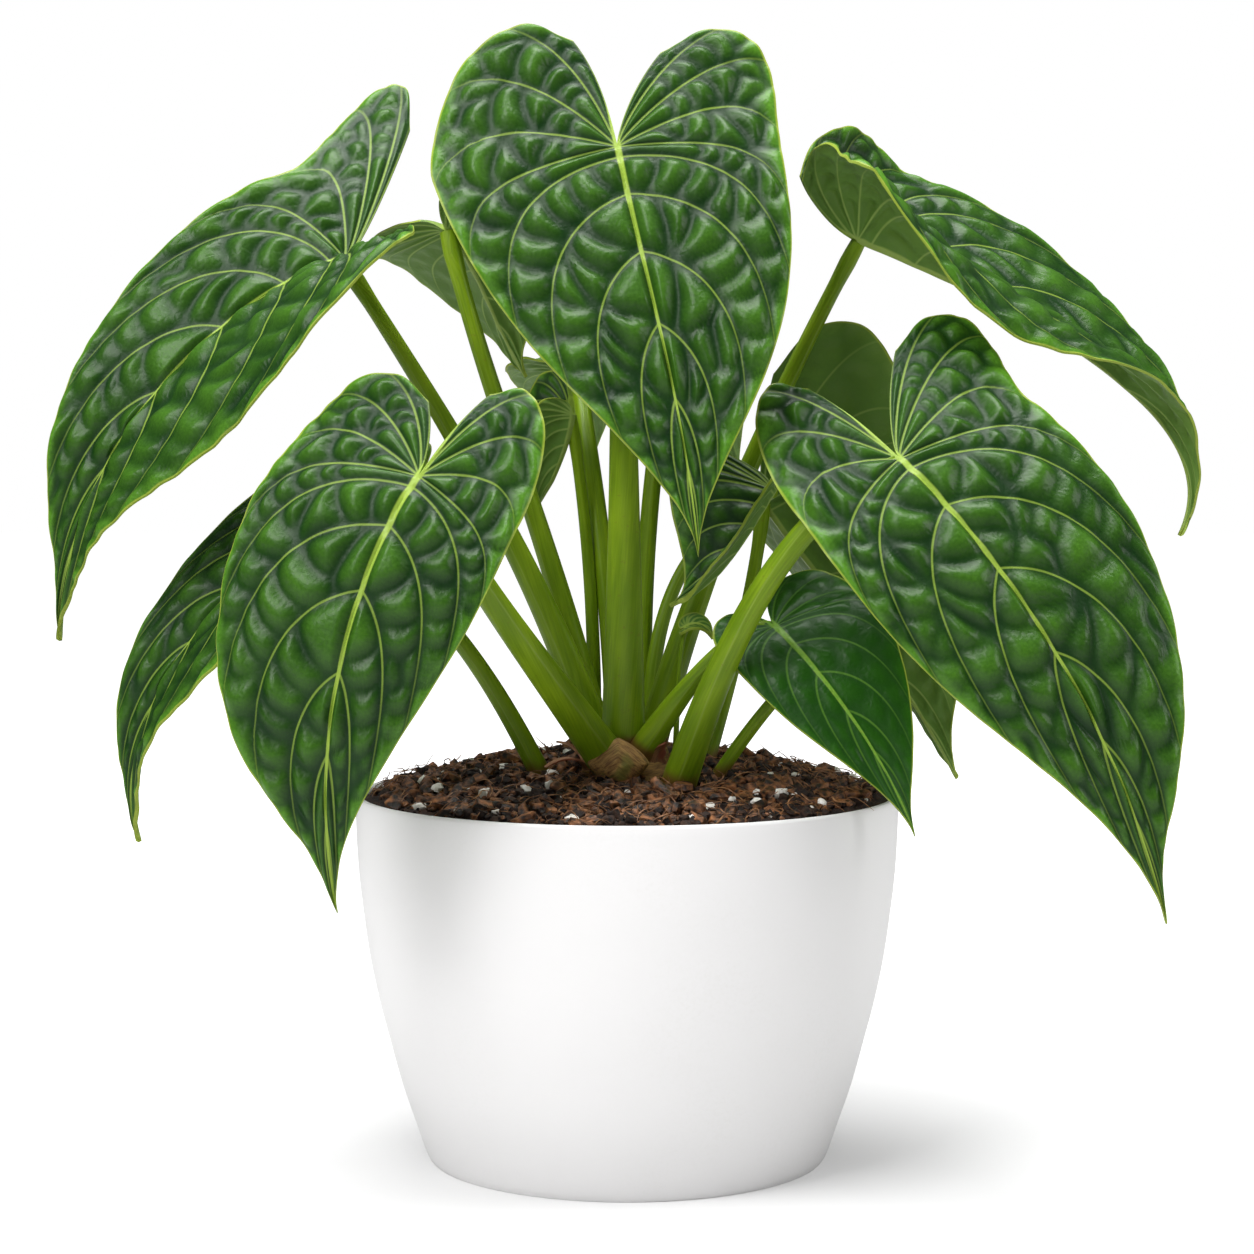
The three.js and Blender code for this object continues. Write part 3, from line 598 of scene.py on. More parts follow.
@dataclass(frozen=True)
class LeafFinish(Finish):
    """How the upper or lower face of a blade looks."""

    deep: Colour
    light: Colour
    vein: Colour
    edge: Colour
    roughness: float = 0.36
    vein_strength: float = 0.6
    margin_reach: float = 7.0
    gloss: float = 0.22

    GROUP = "leaf surface"

    @classmethod
    def group(cls) -> bpy.types.NodeTree:
        """Builds, once, the group that draws ribs, veins, margin and fine relief, with painted shade in the
        creases and painted light on the cells' tops.

        Returns:
            The group.
        """
        if cls.GROUP in bpy.data.node_groups:
            return bpy.data.node_groups[cls.GROUP]
        black = (0.0, 0.0, 0.0)
        colours = {name: black for name in ("Deep", "Light", "Vein", "Edge")}
        numbers = {name: 1.0 for name in ("Vein Strength", "Margin Reach", "Roughness")}
        outputs = {"Colour": "NodeSocketColor", "Roughness": "NodeSocketFloat"}
        outputs["Normal"] = "NodeSocketVector"
        tree, g, given = new_group(cls.GROUP, {**colours, **numbers}, outputs)
        flat, crease, edge = g.value("flat", "Vector"), g.value("crease"), g.value("edge")
        grain = g.noise(flat, 0.9, detail=4.0)
        colour = g.mix(cls.paleness(g, given, flat, grain), given["Deep"], given["Light"])
        # Painted shade: near the creases between the cells the colour darkens towards the deep green.
        colour = g.mix(g.ease(crease, 0.3, 1.7, low=0.8, high=0.0), colour, given["Deep"])
        lines = g.math("MULTIPLY", cls.lines(g, crease), given["Vein Strength"])
        colour = g.mix(lines, colour, given["Vein"])
        rib_colour = g.mix(g.ease(grain, 0.3, 0.7, high=0.35), given["Vein"], given["Edge"])
        colour = g.mix(g.fade(g.value("rib"), 0.65, 1.25), colour, rib_colour)
        colour = g.mix(g.math("MULTIPLY", g.fade(edge, 0.25, 1.0), 0.85), colour, given["Edge"])
        dots = {"Vector": flat, "Scale": 0.42, "Randomness": 0.9}
        dots = g.out("ShaderNodeTexVoronoi", "Distance", dots, feature="DISTANCE_TO_EDGE")
        fine = g.bump(g.ease(dots, 0.0, 0.35), distance=0.00018, strength=0.3)
        normal = g.bump(grain, distance=0.00006, strength=0.25, normal=fine)
        uneven = g.math("MULTIPLY", g.math("SUBTRACT", grain, 0.5), 0.22)
        rough = g.math("ADD", given["Roughness"], uneven)
        rough = g.math("ADD", rough, g.ease(crease, 0.2, 1.8, low=0.14, high=0.0))
        g.add("NodeGroupOutput", {"Colour": colour, "Roughness": rough, "Normal": normal})
        return tree

    @staticmethod
    def paleness(g: Graph, given: dict[str, Socket], flat: Socket, grain: Socket) -> Socket:
        """Says how pale the skin is drawn: paler in patches and near the margin, and with painted light
        paler on the cells' tops.

        Args:
            g: The group's graph.
            given: The group's inputs.
            flat: Places on the flat blade.
            grain: The skin's fine grain.

        Returns:
            The light colour's share.
        """
        margin = g.fade(g.math("DIVIDE", g.value("edge"), given["Margin Reach"]), 0.0, 1.0)
        patches = g.math("MULTIPLY", g.math("SUBTRACT", g.noise(flat, 0.055, detail=2.0), 0.45), 0.5)
        paleness = g.math("ADD", g.math("MULTIPLY", margin, 0.45), patches)
        # Painted light: the higher a cell's surface rises, the paler it is drawn, as if lit on top.
        raised = g.math("MULTIPLY", g.value("height"), 0.3)
        paleness = g.math("MAXIMUM", g.math("ADD", paleness, raised), 0.0)
        mottled = g.ease(grain, 0.2, 0.8, low=0.75, high=1.2)
        return g.math("MINIMUM", g.math("MULTIPLY", paleness, mottled), 1.0)

    @staticmethod
    def lines(g: Graph, crease: Socket) -> Socket:
        """Draws the side veins, which fade towards the margin, and the faint net in the creases.

        Args:
            g: The group's graph.
            crease: The distance from the nearest crease.

        Returns:
            The lines' strength.
        """
        between = g.math("FRACT", g.math("ADD", g.value("lane"), 0.5))
        off_vein = g.math("ABSOLUTE", g.math("SUBTRACT", between, 0.5))
        off_vein = g.math("MULTIPLY", off_vein, g.value("wide"))
        fading = g.ease(g.value("run"), 0.5, 1.0, low=1.0, high=0.35)
        side = g.math("MULTIPLY", g.fade(off_vein, 0.12, 0.55), fading)
        return g.math("MAXIMUM", side, g.math("MULTIPLY", g.fade(crease, 0.05, 0.4), 0.16))

    def paint(self, g: Graph, shader: bpy.types.Node) -> None:
        """Gives the leaf group this finish's colours and links it.

        Args:
            g: The material's graph.
            shader: Its shader.
        """
        group = g.add("ShaderNodeGroup", node_tree=self.group())
        colours = {"Deep": self.deep, "Light": self.light, "Vein": self.vein, "Edge": self.edge}
        for key, colour in colours.items():
            group.inputs[key].default_value = (*colour, 1.0)
        group.inputs["Vein Strength"].default_value = self.vein_strength
        group.inputs["Margin Reach"].default_value = self.margin_reach
        group.inputs["Roughness"].default_value = self.roughness
        g.dress(shader, group.outputs["Colour"], group.outputs["Roughness"], group.outputs["Normal"])
        shader.inputs["Specular IOR Level"].default_value = self.gloss


EDGE_LINE = (0.3, 0.38, 0.045)
MATURE = LeafFinish(
    "mature leaf", (0.004, 0.028, 0.003), (0.112, 0.31, 0.019), (0.28, 0.42, 0.055), EDGE_LINE
)
SMOOTH = LeafFinish(
    "smooth leaf", (0.01, 0.055, 0.004), (0.03, 0.13, 0.006), (0.12, 0.28, 0.03), EDGE_LINE,
    vein_strength=0.45, gloss=0.18,
)
YOUNG = LeafFinish(
    "young leaf", (0.05, 0.14, 0.02), (0.12, 0.24, 0.035), (0.3, 0.42, 0.07), EDGE_LINE, roughness=0.42
)
UNDERSIDE = LeafFinish(
    "leaf underside", (0.1, 0.2, 0.03), (0.16, 0.27, 0.045), (0.27, 0.38, 0.09), EDGE_LINE,
    roughness=0.5, vein_strength=0.75,
)


class LeafLook(Enum):
    """Which finish a blade's upper face has."""

    MATURE = MATURE
    SMOOTH = SMOOTH
    YOUNG = YOUNG


@dataclass(frozen=True)
class Blade:
    """One quilted, heart-shaped blade. Pairs give its left and right half, seen with the tip down."""

    name: str
    midrib: Path
    faces: tuple[Point, Point]
    widths: Pair
    fold: tuple[float | Point, float | Point] = (8, 8)
    curl: Pair = (-10, -10)
    lobe: Pair = (1, 1)
    spread: Pair = (0, 0)
    belly: Pair = (0, 0)
    shoulder: Pair = (0, 0)
    lobe_fold: Pair = (0, 0)
    lobe_bend: float = 0
    quilt: float = 1.5
    wave: float = 1.2
    rib: float = 1.3
    columns: int = 14
    rows: int = 58
    look: LeafLook = LeafLook.MATURE

    def frames(self, along: np.ndarray) -> tuple[np.ndarray, np.ndarray, np.ndarray]:
        """Finds the midrib's frame at distances from the stalk, following the lobes' bend behind it.

        Args:
            along: Distances in millimetres.

        Returns:
            Places on the midrib, directions out of the upper face, and directions across.
        """
        curve = Bezier(self.midrib)
        share = np.clip(along / curve.length, 0, 1)
        place, forward = curve.at(share)
        first, last = unit(np.array(self.faces, float))
        face = first + (last - first) * share[..., None]
        face = unit(face - dot(face, forward) * forward)
        across = np.cross(face, forward)
        bend = max(math.radians(self.lobe_bend) / (LOBE_LENGTH * curve.length), 1e-6)
        angle = np.maximum(-along, 0)[..., None] * bend
        place = place - forward * np.sin(angle) / bend + face * (1 - np.cos(angle)) / bend
        face = face * np.cos(angle) + forward * np.sin(angle)
        return place, face, across

    def flat(self, half: int, t: np.ndarray, s: np.ndarray) -> tuple[np.ndarray, np.ndarray]:
        """Lays a vein's points out on the flat blade.

        Args:
            half: 0 for the left half and 1 for the right.
            t: Which vein, counted from the tip.
            s: How far along the vein, from 0 to 1.

        Returns:
            Distances across from the midrib and along from the stalk.
        """
        length = Bezier(self.midrib).length
        tipwards = spline(OUTLINE_ALONG, t)
        ahead = np.maximum(tipwards, 0)
        # Both humps are 1 at their highest.
        hump = 4 * ahead * (1 - ahead)
        farther_hump = 6.75 * ahead**2 * (1 - ahead)
        wider = 1 + self.belly[half] * hump + self.shoulder[half] * farther_hump
        out_x = spline(OUTLINE_ACROSS, t) * self.widths[half] * wider
        out_y = tipwards * length * np.where(tipwards < 0, self.lobe[half], 1)
        start = np.clip(spline(VEIN_START, t), 0, 1) * length
        bend_x = spline(VEIN_OUTWARD, t) * out_x
        bend_y = start + spline(VEIN_ONWARD, t) * (out_y - start)
        along = (1 - s) ** 2 * start + 2 * (1 - s) * s * bend_y + s**2 * out_y
        behind = np.maximum(-along, 0)
        leaning = self.spread[half] * behind**2 / (behind + LOBE_SPREAD_START)
        return 2 * (1 - s) * s * bend_x + s**2 * out_x + leaning, along

    def fold_angle(self, half: int, along: np.ndarray) -> np.ndarray:
        """Gives the rise of a half out of the plane, on a parabola through its three given angles.

        Args:
            half: 0 for the left half and 1 for the right.
            along: Distances from the stalk.

        Returns:
            The angles in radians.
        """
        length = Bezier(self.midrib).length
        ahead = np.clip(along / length, 0, 1)
        behind = np.clip(-along / (LOBE_LENGTH * length), 0, 1)
        given = self.fold[half]
        first, middle, last = given if isinstance(given, tuple) else (given, given, given)
        eased = first * (1 - ahead) * (1 - 2 * ahead) + last * ahead * (2 * ahead - 1)
        return np.radians(eased + 4 * middle * ahead * (1 - ahead) + self.lobe_fold[half] * behind)

    def smooth_surface(self, half: int, t: np.ndarray, s: np.ndarray) -> dict[str, np.ndarray]:
        """Finds the blade's middle surface before any quilting.

        Args:
            half: 0 for the left half and 1 for the right.
            t: Which vein, counted from the tip.
            s: How far along the vein, from 0 to 1.

        Returns:
            Points, normals out of the upper face, and the flat distances across and along.
        """
        across, along = self.flat(half, t, s)
        place, face, sideways = self.frames(along)
        outwards = 1 if half else -1
        start = self.fold_angle(half, along)
        bend = math.radians(self.curl[half] or 0.001) / self.widths[half]
        angle = start + bend * across
        out = ((np.sin(angle) - np.sin(start)) / bend)[..., None]
        up = ((np.cos(start) - np.cos(angle)) / bend)[..., None]
        tilt = angle[..., None]
        normal = face * np.cos(tilt) - outwards * sideways * np.sin(tilt)
        point = place + outwards * out * sideways + up * face
        return {"point": point, "normal": normal, "across": across, "along": along}

    def on_lane(self, half: int, lane: np.ndarray, s: np.ndarray) -> np.ndarray:
        """Finds flat places by lane and share of the way from midrib to margin."""
        return np.stack(self.flat(half, np.clip(lane - sweep(lane, s), 0, VEINS), s), axis=-1)

    def cells(self, half: int) -> tuple[np.ndarray, np.ndarray, np.ndarray]:
        """Places the quilted cells along the lanes.

        Args:
            half: 0 for the left half and 1 for the right.

        Returns:
            Each cell's lane, its middle on the flat blade, and its size in millimetres.
        """
        draw = np.random.default_rng(len(self.name) + HALF_SEED * half)
        s = np.linspace(0, 1, LANE_SAMPLES)
        found = []
        for lane in range(VEINS):
            sides = (np.full_like(s, lane + share) for share in (0.0, 0.5, 1.0))
            start, path, end = (self.on_lane(half, side, s) for side in sides)
            travelled = distances(path)
            forward = unit(np.gradient(path, axis=0))
            gap = end - start
            wide = np.abs(gap[:, 0] * forward[:, 1] - gap[:, 1] * forward[:, 0])
            place = FIRST_CELL
            while place < travelled[-1] - LAST_CELL:
                breadth = np.interp(place, travelled, wide)
                longest = MARGIN_CELL if travelled[-1] - place < MARGIN_BAND else CELL_LENGTH
                size = np.clip(CELL_ASPECT * breadth, CELL_SHORTEST, longest)
                narrowest = NARROW_INNER if place < travelled[-1] / 2 else NARROW_OUTER
                count = max(1, round(breadth / (CELL_BREADTH * size))) if breadth > narrowest else 0
                for k in range(count):
                    across, onward = draw.uniform(-CELL_JITTER, CELL_JITTER, 2)
                    reached = place + size * (CELL_STAGGER * (k % 2) + onward)
                    middle = lane + (k + 0.5 + across) / count
                    found.append((lane, middle, np.interp(reached, travelled, s), size))
                place += size
        lanes, across, share, sizes = np.array(found).reshape(-1, 4).T
        return lanes, self.on_lane(half, across, share), sizes

    def relief(
        self, half: int, lane: np.ndarray, lane_size: np.ndarray, place: np.ndarray, to_edge: np.ndarray
    ) -> tuple[np.ndarray, np.ndarray, np.ndarray]:
        """Gives the quilting.

        Args:
            half: 0 for the left half and 1 for the right.
            lane: The place across the lanes, whole numbers lying on veins.
            lane_size: How many millimetres a lane is wide.
            place: Places on the flat blade.
            to_edge: Millimetres to the margin.

        Returns:
            The height from 0 to 1, the cells' size, and the distance from their borders in millimetres.
        """
        off_vein = np.abs(lane - np.round(lane)) * lane_size
        lanes, middles, sizes = self.cells(half)
        if len(lanes) < 2:
            return np.zeros_like(lane), np.ones_like(lane), off_vein
        apart = np.linalg.norm(place[..., None, :] - middles, axis=-1)
        apart = np.where(np.floor(lane)[..., None] == lanes, apart, FAR)
        order = np.argpartition(apart, 1, axis=-1)[..., :2]
        near, far = np.moveaxis(np.take_along_axis(apart, order, axis=-1), -1, 0)
        between = np.linalg.norm(middles[order[..., 0]] - middles[order[..., 1]], axis=-1)
        border = np.where(far < FAR, (far**2 - near**2) / (2 * np.maximum(between, 1)), CELL_LENGTH)
        size = np.minimum(np.where(near < FAR, sizes[order[..., 0]], lane_size), lane_size)
        reach = DOME_REACH * np.clip(size, *DOME_SIZES)
        height = domed(rounded(border) / reach) * domed(rounded(off_vein) / reach)
        height = height * (MARGIN_HEIGHT + (1 - MARGIN_HEIGHT) * domed(to_edge / MARGIN_FADE))
        off_rib = to_edge[:, :1] - to_edge
        height = height * np.clip(off_rib / RIB_FADE, 0, 1) * np.clip(lane / TIP_FADE, 0, 1)
        return evened(height), size, evened(np.minimum(border, off_vein))

    def half_grid(self, half: int, t: np.ndarray, s: np.ndarray) -> dict[str, np.ndarray]:
        """Builds one half's grid of points and the distances that its finish reads.

        Args:
            half: 0 for the left half and 1 for the right.
            t: The grid's columns.
            s: The grid's rows.

        Returns:
            Points, normals and the values for the finish.
        """
        tt, ss = np.meshgrid(t, s, indexing="ij")
        grid = self.smooth_surface(half, tt, ss)
        steps = np.linalg.norm(np.diff(grid["point"], axis=1), axis=-1)
        travelled = np.concatenate([np.zeros((len(t), 1)), np.cumsum(steps, axis=1)], axis=1)
        length = travelled[:, -1:]
        lane = tt + sweep(tt, ss)
        place = np.stack([grid["across"], grid["along"]], axis=-1)
        outwards = unit(np.gradient(place, axis=1))
        wide = self.vein_spacing(place, outwards)
        arched = place - outwards * (CELL_ARCH * np.sin(np.pi * (lane % 1)))[..., None]
        height, size, grid["crease"] = self.relief(half, lane, wide, arched, length - travelled)
        other = self.smooth_surface(1 - half, t, np.zeros_like(t))["normal"]
        grid["normal"][:, 0] = unit(grid["normal"][:, 0] + other)
        wave = self.wave * np.sin(WAVE_TURN * tt + half) * ss**3
        rise = np.minimum(QUILT_GAIN * self.quilt, STEEPEST_QUILT * size) * height
        grid["point"] = grid["point"] + grid["normal"] * (rise + wave)[..., None]
        grid["lane"] = lane
        grid["wide"] = wide
        grid["run"] = ss
        grid["edge"] = length - travelled
        to_tip = np.clip(1 - grid["along"] / Bezier(self.midrib).length, 0, 1)
        grid["rib"] = grid["across"] / (RIB_LINE + RIB_LINE_GROWTH * to_tip**2)
        grid["height"] = height
        thinning = np.clip(tt / RIB_TAPER_VEINS, THINNEST_RIB, 1)
        grid["keel"] = self.rib * thinning * bump_at(grid["across"], RIB_WIDTH)
        grid["ridge"] = RIDGE_HEIGHT * min(self.rib, 1) * thinning * bump_at(grid["across"], RIDGE_WIDTH)
        signed = grid["across"] * (1 if half else -1)
        grid["flat"] = np.stack([signed, grid["along"], np.zeros_like(signed)], axis=-1)
        return grid

    def vein_spacing(self, place: np.ndarray, outwards: np.ndarray) -> np.ndarray:
        """Measures how far apart neighbouring side veins run.

        Args:
            place: Places on the flat blade, by column and row.
            outwards: The direction along the vein at each.

        Returns:
            Millimetres from one vein to the next, at right angles to them.
        """
        sideways = np.gradient(place, axis=0) * self.columns
        crossed = sideways[..., 0] * outwards[..., 1] - sideways[..., 1] * outwards[..., 0]
        return np.clip(np.abs(crossed), *LANE_WIDTHS)

    def build(self) -> bpy.types.Object:
        """Builds the blade as one closed sheet and dresses it.

        Returns:
            The blade.
        """
        t = np.linspace(0, VEINS, VEINS * self.columns + 1)
        even = np.linspace(EVEN_ROWS_FROM, 1, self.rows + 1 - len(ROWS_BY_RIB))
        s = np.concatenate([ROWS_BY_RIB, even])
        halves = [self.half_grid(half, t, s) for half in (0, 1)]
        columns, rows = len(t), len(s)
        ids = np.arange(2 * columns * rows).reshape(2, columns, rows)
        ids[0, :, 0] = ids[1, :, 0]
        ids[:, 0, :] = ids[1, 0, 0]
        joined = spline(VEIN_START, t) <= JOINED_START
        ids[:, joined, 0] = ids[1, -1, 0]
        kept, packed = np.unique(ids, return_inverse=True)
        ids = packed.reshape(ids.shape)
        count = len(kept)

        def gather(key: str) -> np.ndarray:
            """Joins a value of both halves, one row for each vertex that is kept."""
            both = np.stack([grid[key] for grid in halves])
            return both.reshape(2 * columns * rows, *both.shape[3:])[kept]

        point, normal = gather("point"), gather("normal")
        upper = point + normal * (BLADE_THICKNESS / 2 + gather("ridge"))[:, None]
        lower = point - normal * (BLADE_THICKNESS / 2 + gather("keel"))[:, None]
        vertices = np.concatenate([upper, lower])
        faces, slots = self.skin_faces(ids, count)
        materials = [self.look.value.material(), UNDERSIDE.material()]
        made = make_object(f"leaf_{self.name}", vertices, faces, materials, slots, sharp_degrees=50)
        for key in ("lane", "wide", "run", "edge", "rib", "height", "crease", "flat"):
            values = gather(key)
            add_values(made, key, np.concatenate([values, values]))
        return settle(made, "blade", f"blade_{self.name}")

    @staticmethod
    def skin_faces(ids: np.ndarray, count: int) -> tuple[list[Face], list[int]]:
        """Lists the faces of both skins and of the wall between them.

        Args:
            ids: Vertex numbers by half, column and row.
            count: How many vertices one skin has.

        Returns:
            The faces, and each one's material slot.
        """
        faces: list[Face] = []
        slots: list[int] = []
        for half in (0, 1):
            side = ids[half]
            corners = (side[:-1, :-1], side[1:, :-1], side[1:, 1:], side[:-1, 1:])
            quads = np.stack(corners, axis=-1).reshape(-1, 4)
            if half:
                quads = quads[:, ::-1]
            for quad in quads.tolist():
                ring = tuple(v for k, v in enumerate(quad) if v != quad[k - 1])
                if len(ring) < 3:
                    continue
                faces.append(ring)
                faces.append(tuple(v + count for v in reversed(ring)))
                slots += [0, 1]
        left, right = ids[0], ids[1]
        right_border = [right[0, 0], *right[1:, -1], *right[-1, -2:0:-1], right[-1, 0]]
        border = wall([*right_border, *left[-1, 1:-1], *left[:0:-1, -1]], count)
        return faces + border, slots + [0] * len(border)


BLADES = (
    Blade("top", ((-3, -30, 331), (4, -50, 294), (18, -66, 250), (22, -70, 202)),
          ((0, -0.97, 0.25), (0, -1, 0.05)), widths=(60, 52), fold=(6, 6), curl=(-14, -14),
          lobe=(1.28, 0.97), spread=(-0.1, 0.35), belly=(-0.12, -0.1), shoulder=(0, 0.2), quilt=1.7),
    Blade("upper_left", ((-92, -10, 297), (-120, -22, 288), (-181, -30, 242), (-184, -20, 173)),
          ((-0.35, -0.65, 0.65), (-0.55, -0.75, 0.2)), widths=(43, 54), fold=(22, (38, 10, 20)),
          lobe=(1.15, 0.32), spread=(1, -0.3), belly=(-0.14, 0.05), shoulder=(0.2, 0), quilt=1.3),
    Blade("upper_right", ((77, 10, 305), (109, 5, 291), (204, -5, 253), (180, -15, 207)),
          ((0.52, -0.41, 0.74), (0.9, -0.2, 0.2)), widths=(46, 50), fold=((82, 36, 75), 20),
          curl=(-70, -10), lobe_fold=(0, 25), lobe_bend=30, lobe=(0.7, 0.75), shoulder=(0.3, 0.2),
          quilt=1.2, wave=0.8),
    Blade("lower_left", ((-62, -95, 227), (-78, -110, 203), (-96, -112, 152), (-87, -95, 96)),
          ((-0.2, -0.9, 0.35), (-0.1, -1, -0.05)), widths=(45, 34), fold=(0, 0), curl=(-20, -20),
          lobe=(0.75, 1.05), spread=(0.2, -0.1), belly=(0, 0.08), shoulder=(0.32, 0)),
    Blade("lower_right", ((84, -65, 232), (105, -85, 211), (145, -95, 163), (164, -85, 91)),
          ((0.2, -0.9, 0.35), (0.15, -1, 0)), widths=(38, 50), fold=(4, 4), curl=(-16, -16), lobe=(1, 0.9),
          spread=(-0.1, 0.6), belly=(0.15, -0.1), shoulder=(0, 0.3), quilt=1.7),
    Blade("far_left", ((-96, -20, 212), (-117, -30, 203), (-170, -35, 154), (-158, -25, 108)),
          ((-0.45, -0.6, 0.65), (-0.7, -0.7, 0.1)), widths=(28, 36), fold=(20, 20), lobe=(1.2, 1),
          belly=(-0.3, 0), shoulder=(0.35, 0), quilt=1, wave=0.8, columns=12, rows=42),
    Blade("small_right",
          ((47.4, -33, 178.3), (54.6, -48.4, 172.2), (79.3, -58.7, 144.3), (90.6, -53.6, 113.4)),
          ((0.1, -0.9, 0.4), (0.1, -1, 0.1)), widths=(20, 31), fold=(4, 4), lobe=(0.7, 1),
          spread=(0, 0.15), quilt=0.35, wave=0.5, columns=11, rows=36, look=LeafLook.SMOOTH),
    Blade("back_left", ((-60, 20, 309), (-50, 30, 298), (-44, 45, 276), (-35, 50, 260)),
          ((0.3, 0.75, 0.55), (0.3, 0.8, 0.5)), widths=(30, 35), fold=(0, (0, 20, 25)), curl=(0, 0),
          lobe=(0.8, 0.5), quilt=0.6, wave=0.5, columns=10, rows=28, look=LeafLook.YOUNG),
    Blade("inner_left", ((-19, 21, 247), (-20, 22, 237), (-27, 23, 223), (-32, 24, 213)),
          ((-0.6, -0.75, 0.2), (-0.6, -0.75, 0.2)), widths=(20, 14), fold=(0, 110), curl=(0, 0),
          lobe=(1.3, 0.5), quilt=0.5, wave=0.4, columns=8, rows=26),
    Blade("back_right", ((47.5, 38, 217), (59.5, 36, 197), (90, 32, 170), (113, 28, 122.5)),
          ((0.2, 0.9, 0.4), (0.2, 0.9, 0.3)), widths=(62, 40), fold=(0, 55), curl=(0, 0), lobe=(1.25, 0.8),
          spread=(0.5, 0), quilt=0.8, wave=0.6, columns=11, rows=38, look=LeafLook.YOUNG),
    Blade("inner_right", ((48, 0, 222), (39, -7, 208), (29, -12, 190), (14, -14, 184)),
          ((-0.2, -0.75, 0.6), (-0.4, -0.7, 0.5)), widths=(34, 20), fold=(10, 65), curl=(0, 0),
          lobe=(0.3, 0.8), quilt=0.6, wave=0.4, columns=8, rows=26),
    Blade("rear_left", ((-17, 66, 262), (-17, 96, 258), (-16, 122, 246), (-14, 140, 223)),
          ((0, 0.3, 0.95), (0, 0.8, 0.6)), widths=(19, 26), lobe=(0.7, 0.7), quilt=0.9, wave=0.8,
          columns=10, rows=28, look=LeafLook.YOUNG),
    Blade("rear_right", ((13, 32, 259), (22, 70, 258), (34, 110, 246), (43, 140, 216)),
          ((0, 0.3, 0.95), (0, 0.8, 0.6)), widths=(22, 28), lobe=(0.7, 0.7), quilt=0.9, wave=0.8,
          columns=10, rows=28),
    Blade("low_right", ((86, -18, 187), (99, -20, 187), (118, -22, 174), (130, -24, 152)),
          ((0.3, -0.2, 0.95), (0.8, -0.2, 0.3)), widths=(14, 14), lobe=(0.8, 0.8), quilt=0.6, wave=0.5,
          columns=6, rows=20),
    Blade("newest", ((20, -12, 177), (23, -13, 179), (27, -13, 177), (28, -13, 173)),
          ((-0.1, -0.5, 0.9), (0.6, -0.5, 0.5)), widths=(5, 5), fold=(20, 20), curl=(0, 0), quilt=0.1,
          wave=0, rib=0.3, columns=4, rows=10, look=LeafLook.YOUNG),
)


def crown_distance(points: np.ndarray) -> np.ndarray:
    """Says how far points lie outside the crown, in millimetres.

    Args:
        points: The points, one row each.

    Returns:
        The distances, below 0 inside the crown.
    """
    x = points[:, 0] - CROWN_PLACE[0]
    y = (points[:, 1] - CROWN_PLACE[1]) / CROWN_DEPTH
    radius = np.interp(points[:, 2], CROWN_HEIGHTS, CROWN_RADII)
    outside = np.hypot(x, y) - radius
    return np.where(points[:, 2] > CROWN_HEIGHTS[-1], outside + points[:, 2] - CROWN_HEIGHTS[-1], outside)


def soil_height(x: np.ndarray, y: np.ndarray) -> np.ndarray:
    """Gives the height of the potting mix, with the same waves as in the solids.

    Args:
        x: Places to the right.
        y: Places to the back.

    Returns:
        Heights in millimetres.
    """
    inside = 1 - (np.hypot(x, y) / (POT_RADIUS - POT_WALL)) ** 2
    # Waves that run out of step with each other.
    lumps = np.sin(0.31 * x + 1.3 * np.sin(0.17 * y)) * np.cos(0.27 * y + 0.9 * np.sin(0.23 * x))
    grains = np.sin(0.83 * x + 0.4 * y) * np.sin(0.71 * y - 0.3 * x)
    ease = np.minimum(inside / SOIL_EDGE_EASE, 1)
    mound = POT_HEIGHT - SOIL_EDGE_DROP + SOIL_MOUND * inside + SOIL_BACK_TILT * y * inside
    return mound + SOIL_LUMP * ease * (lumps + 0.5 * grains)


@dataclass(frozen=True)
class StalkFinish(Finish):
    """The skin of a leaf stalk: green, paler on its edges, brown where it leaves the crown."""

    name: str = "leaf stalk"
    green: Colour = (0.11, 0.205, 0.003)
    pale: Colour = (0.235, 0.36, 0.01)
    edge: Colour = (0.26, 0.35, 0.07)
    scar: Colour = (0.16, 0.06, 0.02)
    roughness: float = 0.38
    gloss: float = 0.22

    def paint(self, g: Graph, shader: bpy.types.Node) -> None:
        """Draws streaks, pale edges, freckles and the brown foot.

        Args:
            g: The material's graph.
            shader: Its shader.
        """
        place = g.value("flat", "Vector")
        streaks = g.noise(g.scaled(place, (1.6, 0.05, 1.0)), 1.0, detail=4.0)
        patches = g.noise(g.scaled(place, (0.12, 0.03, 1.0)), 1.0, detail=2.0)
        paleness = g.math("ADD", g.math("MULTIPLY", streaks, 0.45), g.math("MULTIPLY", patches, 0.65))
        colour = g.mix(g.ease(paleness, 0.35, 0.8), self.green, self.pale)
        colour = g.mix(g.math("MULTIPLY", g.ease(g.value("ridge"), 0.5, 1.0), 0.4), colour, self.edge)
        foot = g.math("MULTIPLY", g.fade(g.value("foot"), 1.5, 5.5), 0.9)
        freckles = g.math("MULTIPLY", g.ease(g.noise(place, 0.8), 0.62, 0.72), 0.25)
        colour = g.mix(g.math("MAXIMUM", foot, freckles), colour, self.scar)
        rough = g.ease(streaks, 0.2, 0.8, low=self.roughness - 0.05, high=self.roughness + 0.1)
        g.dress(shader, colour, rough, g.bump(streaks, distance=0.00025, strength=0.5))
        shader.inputs["Specular IOR Level"].default_value = self.gloss


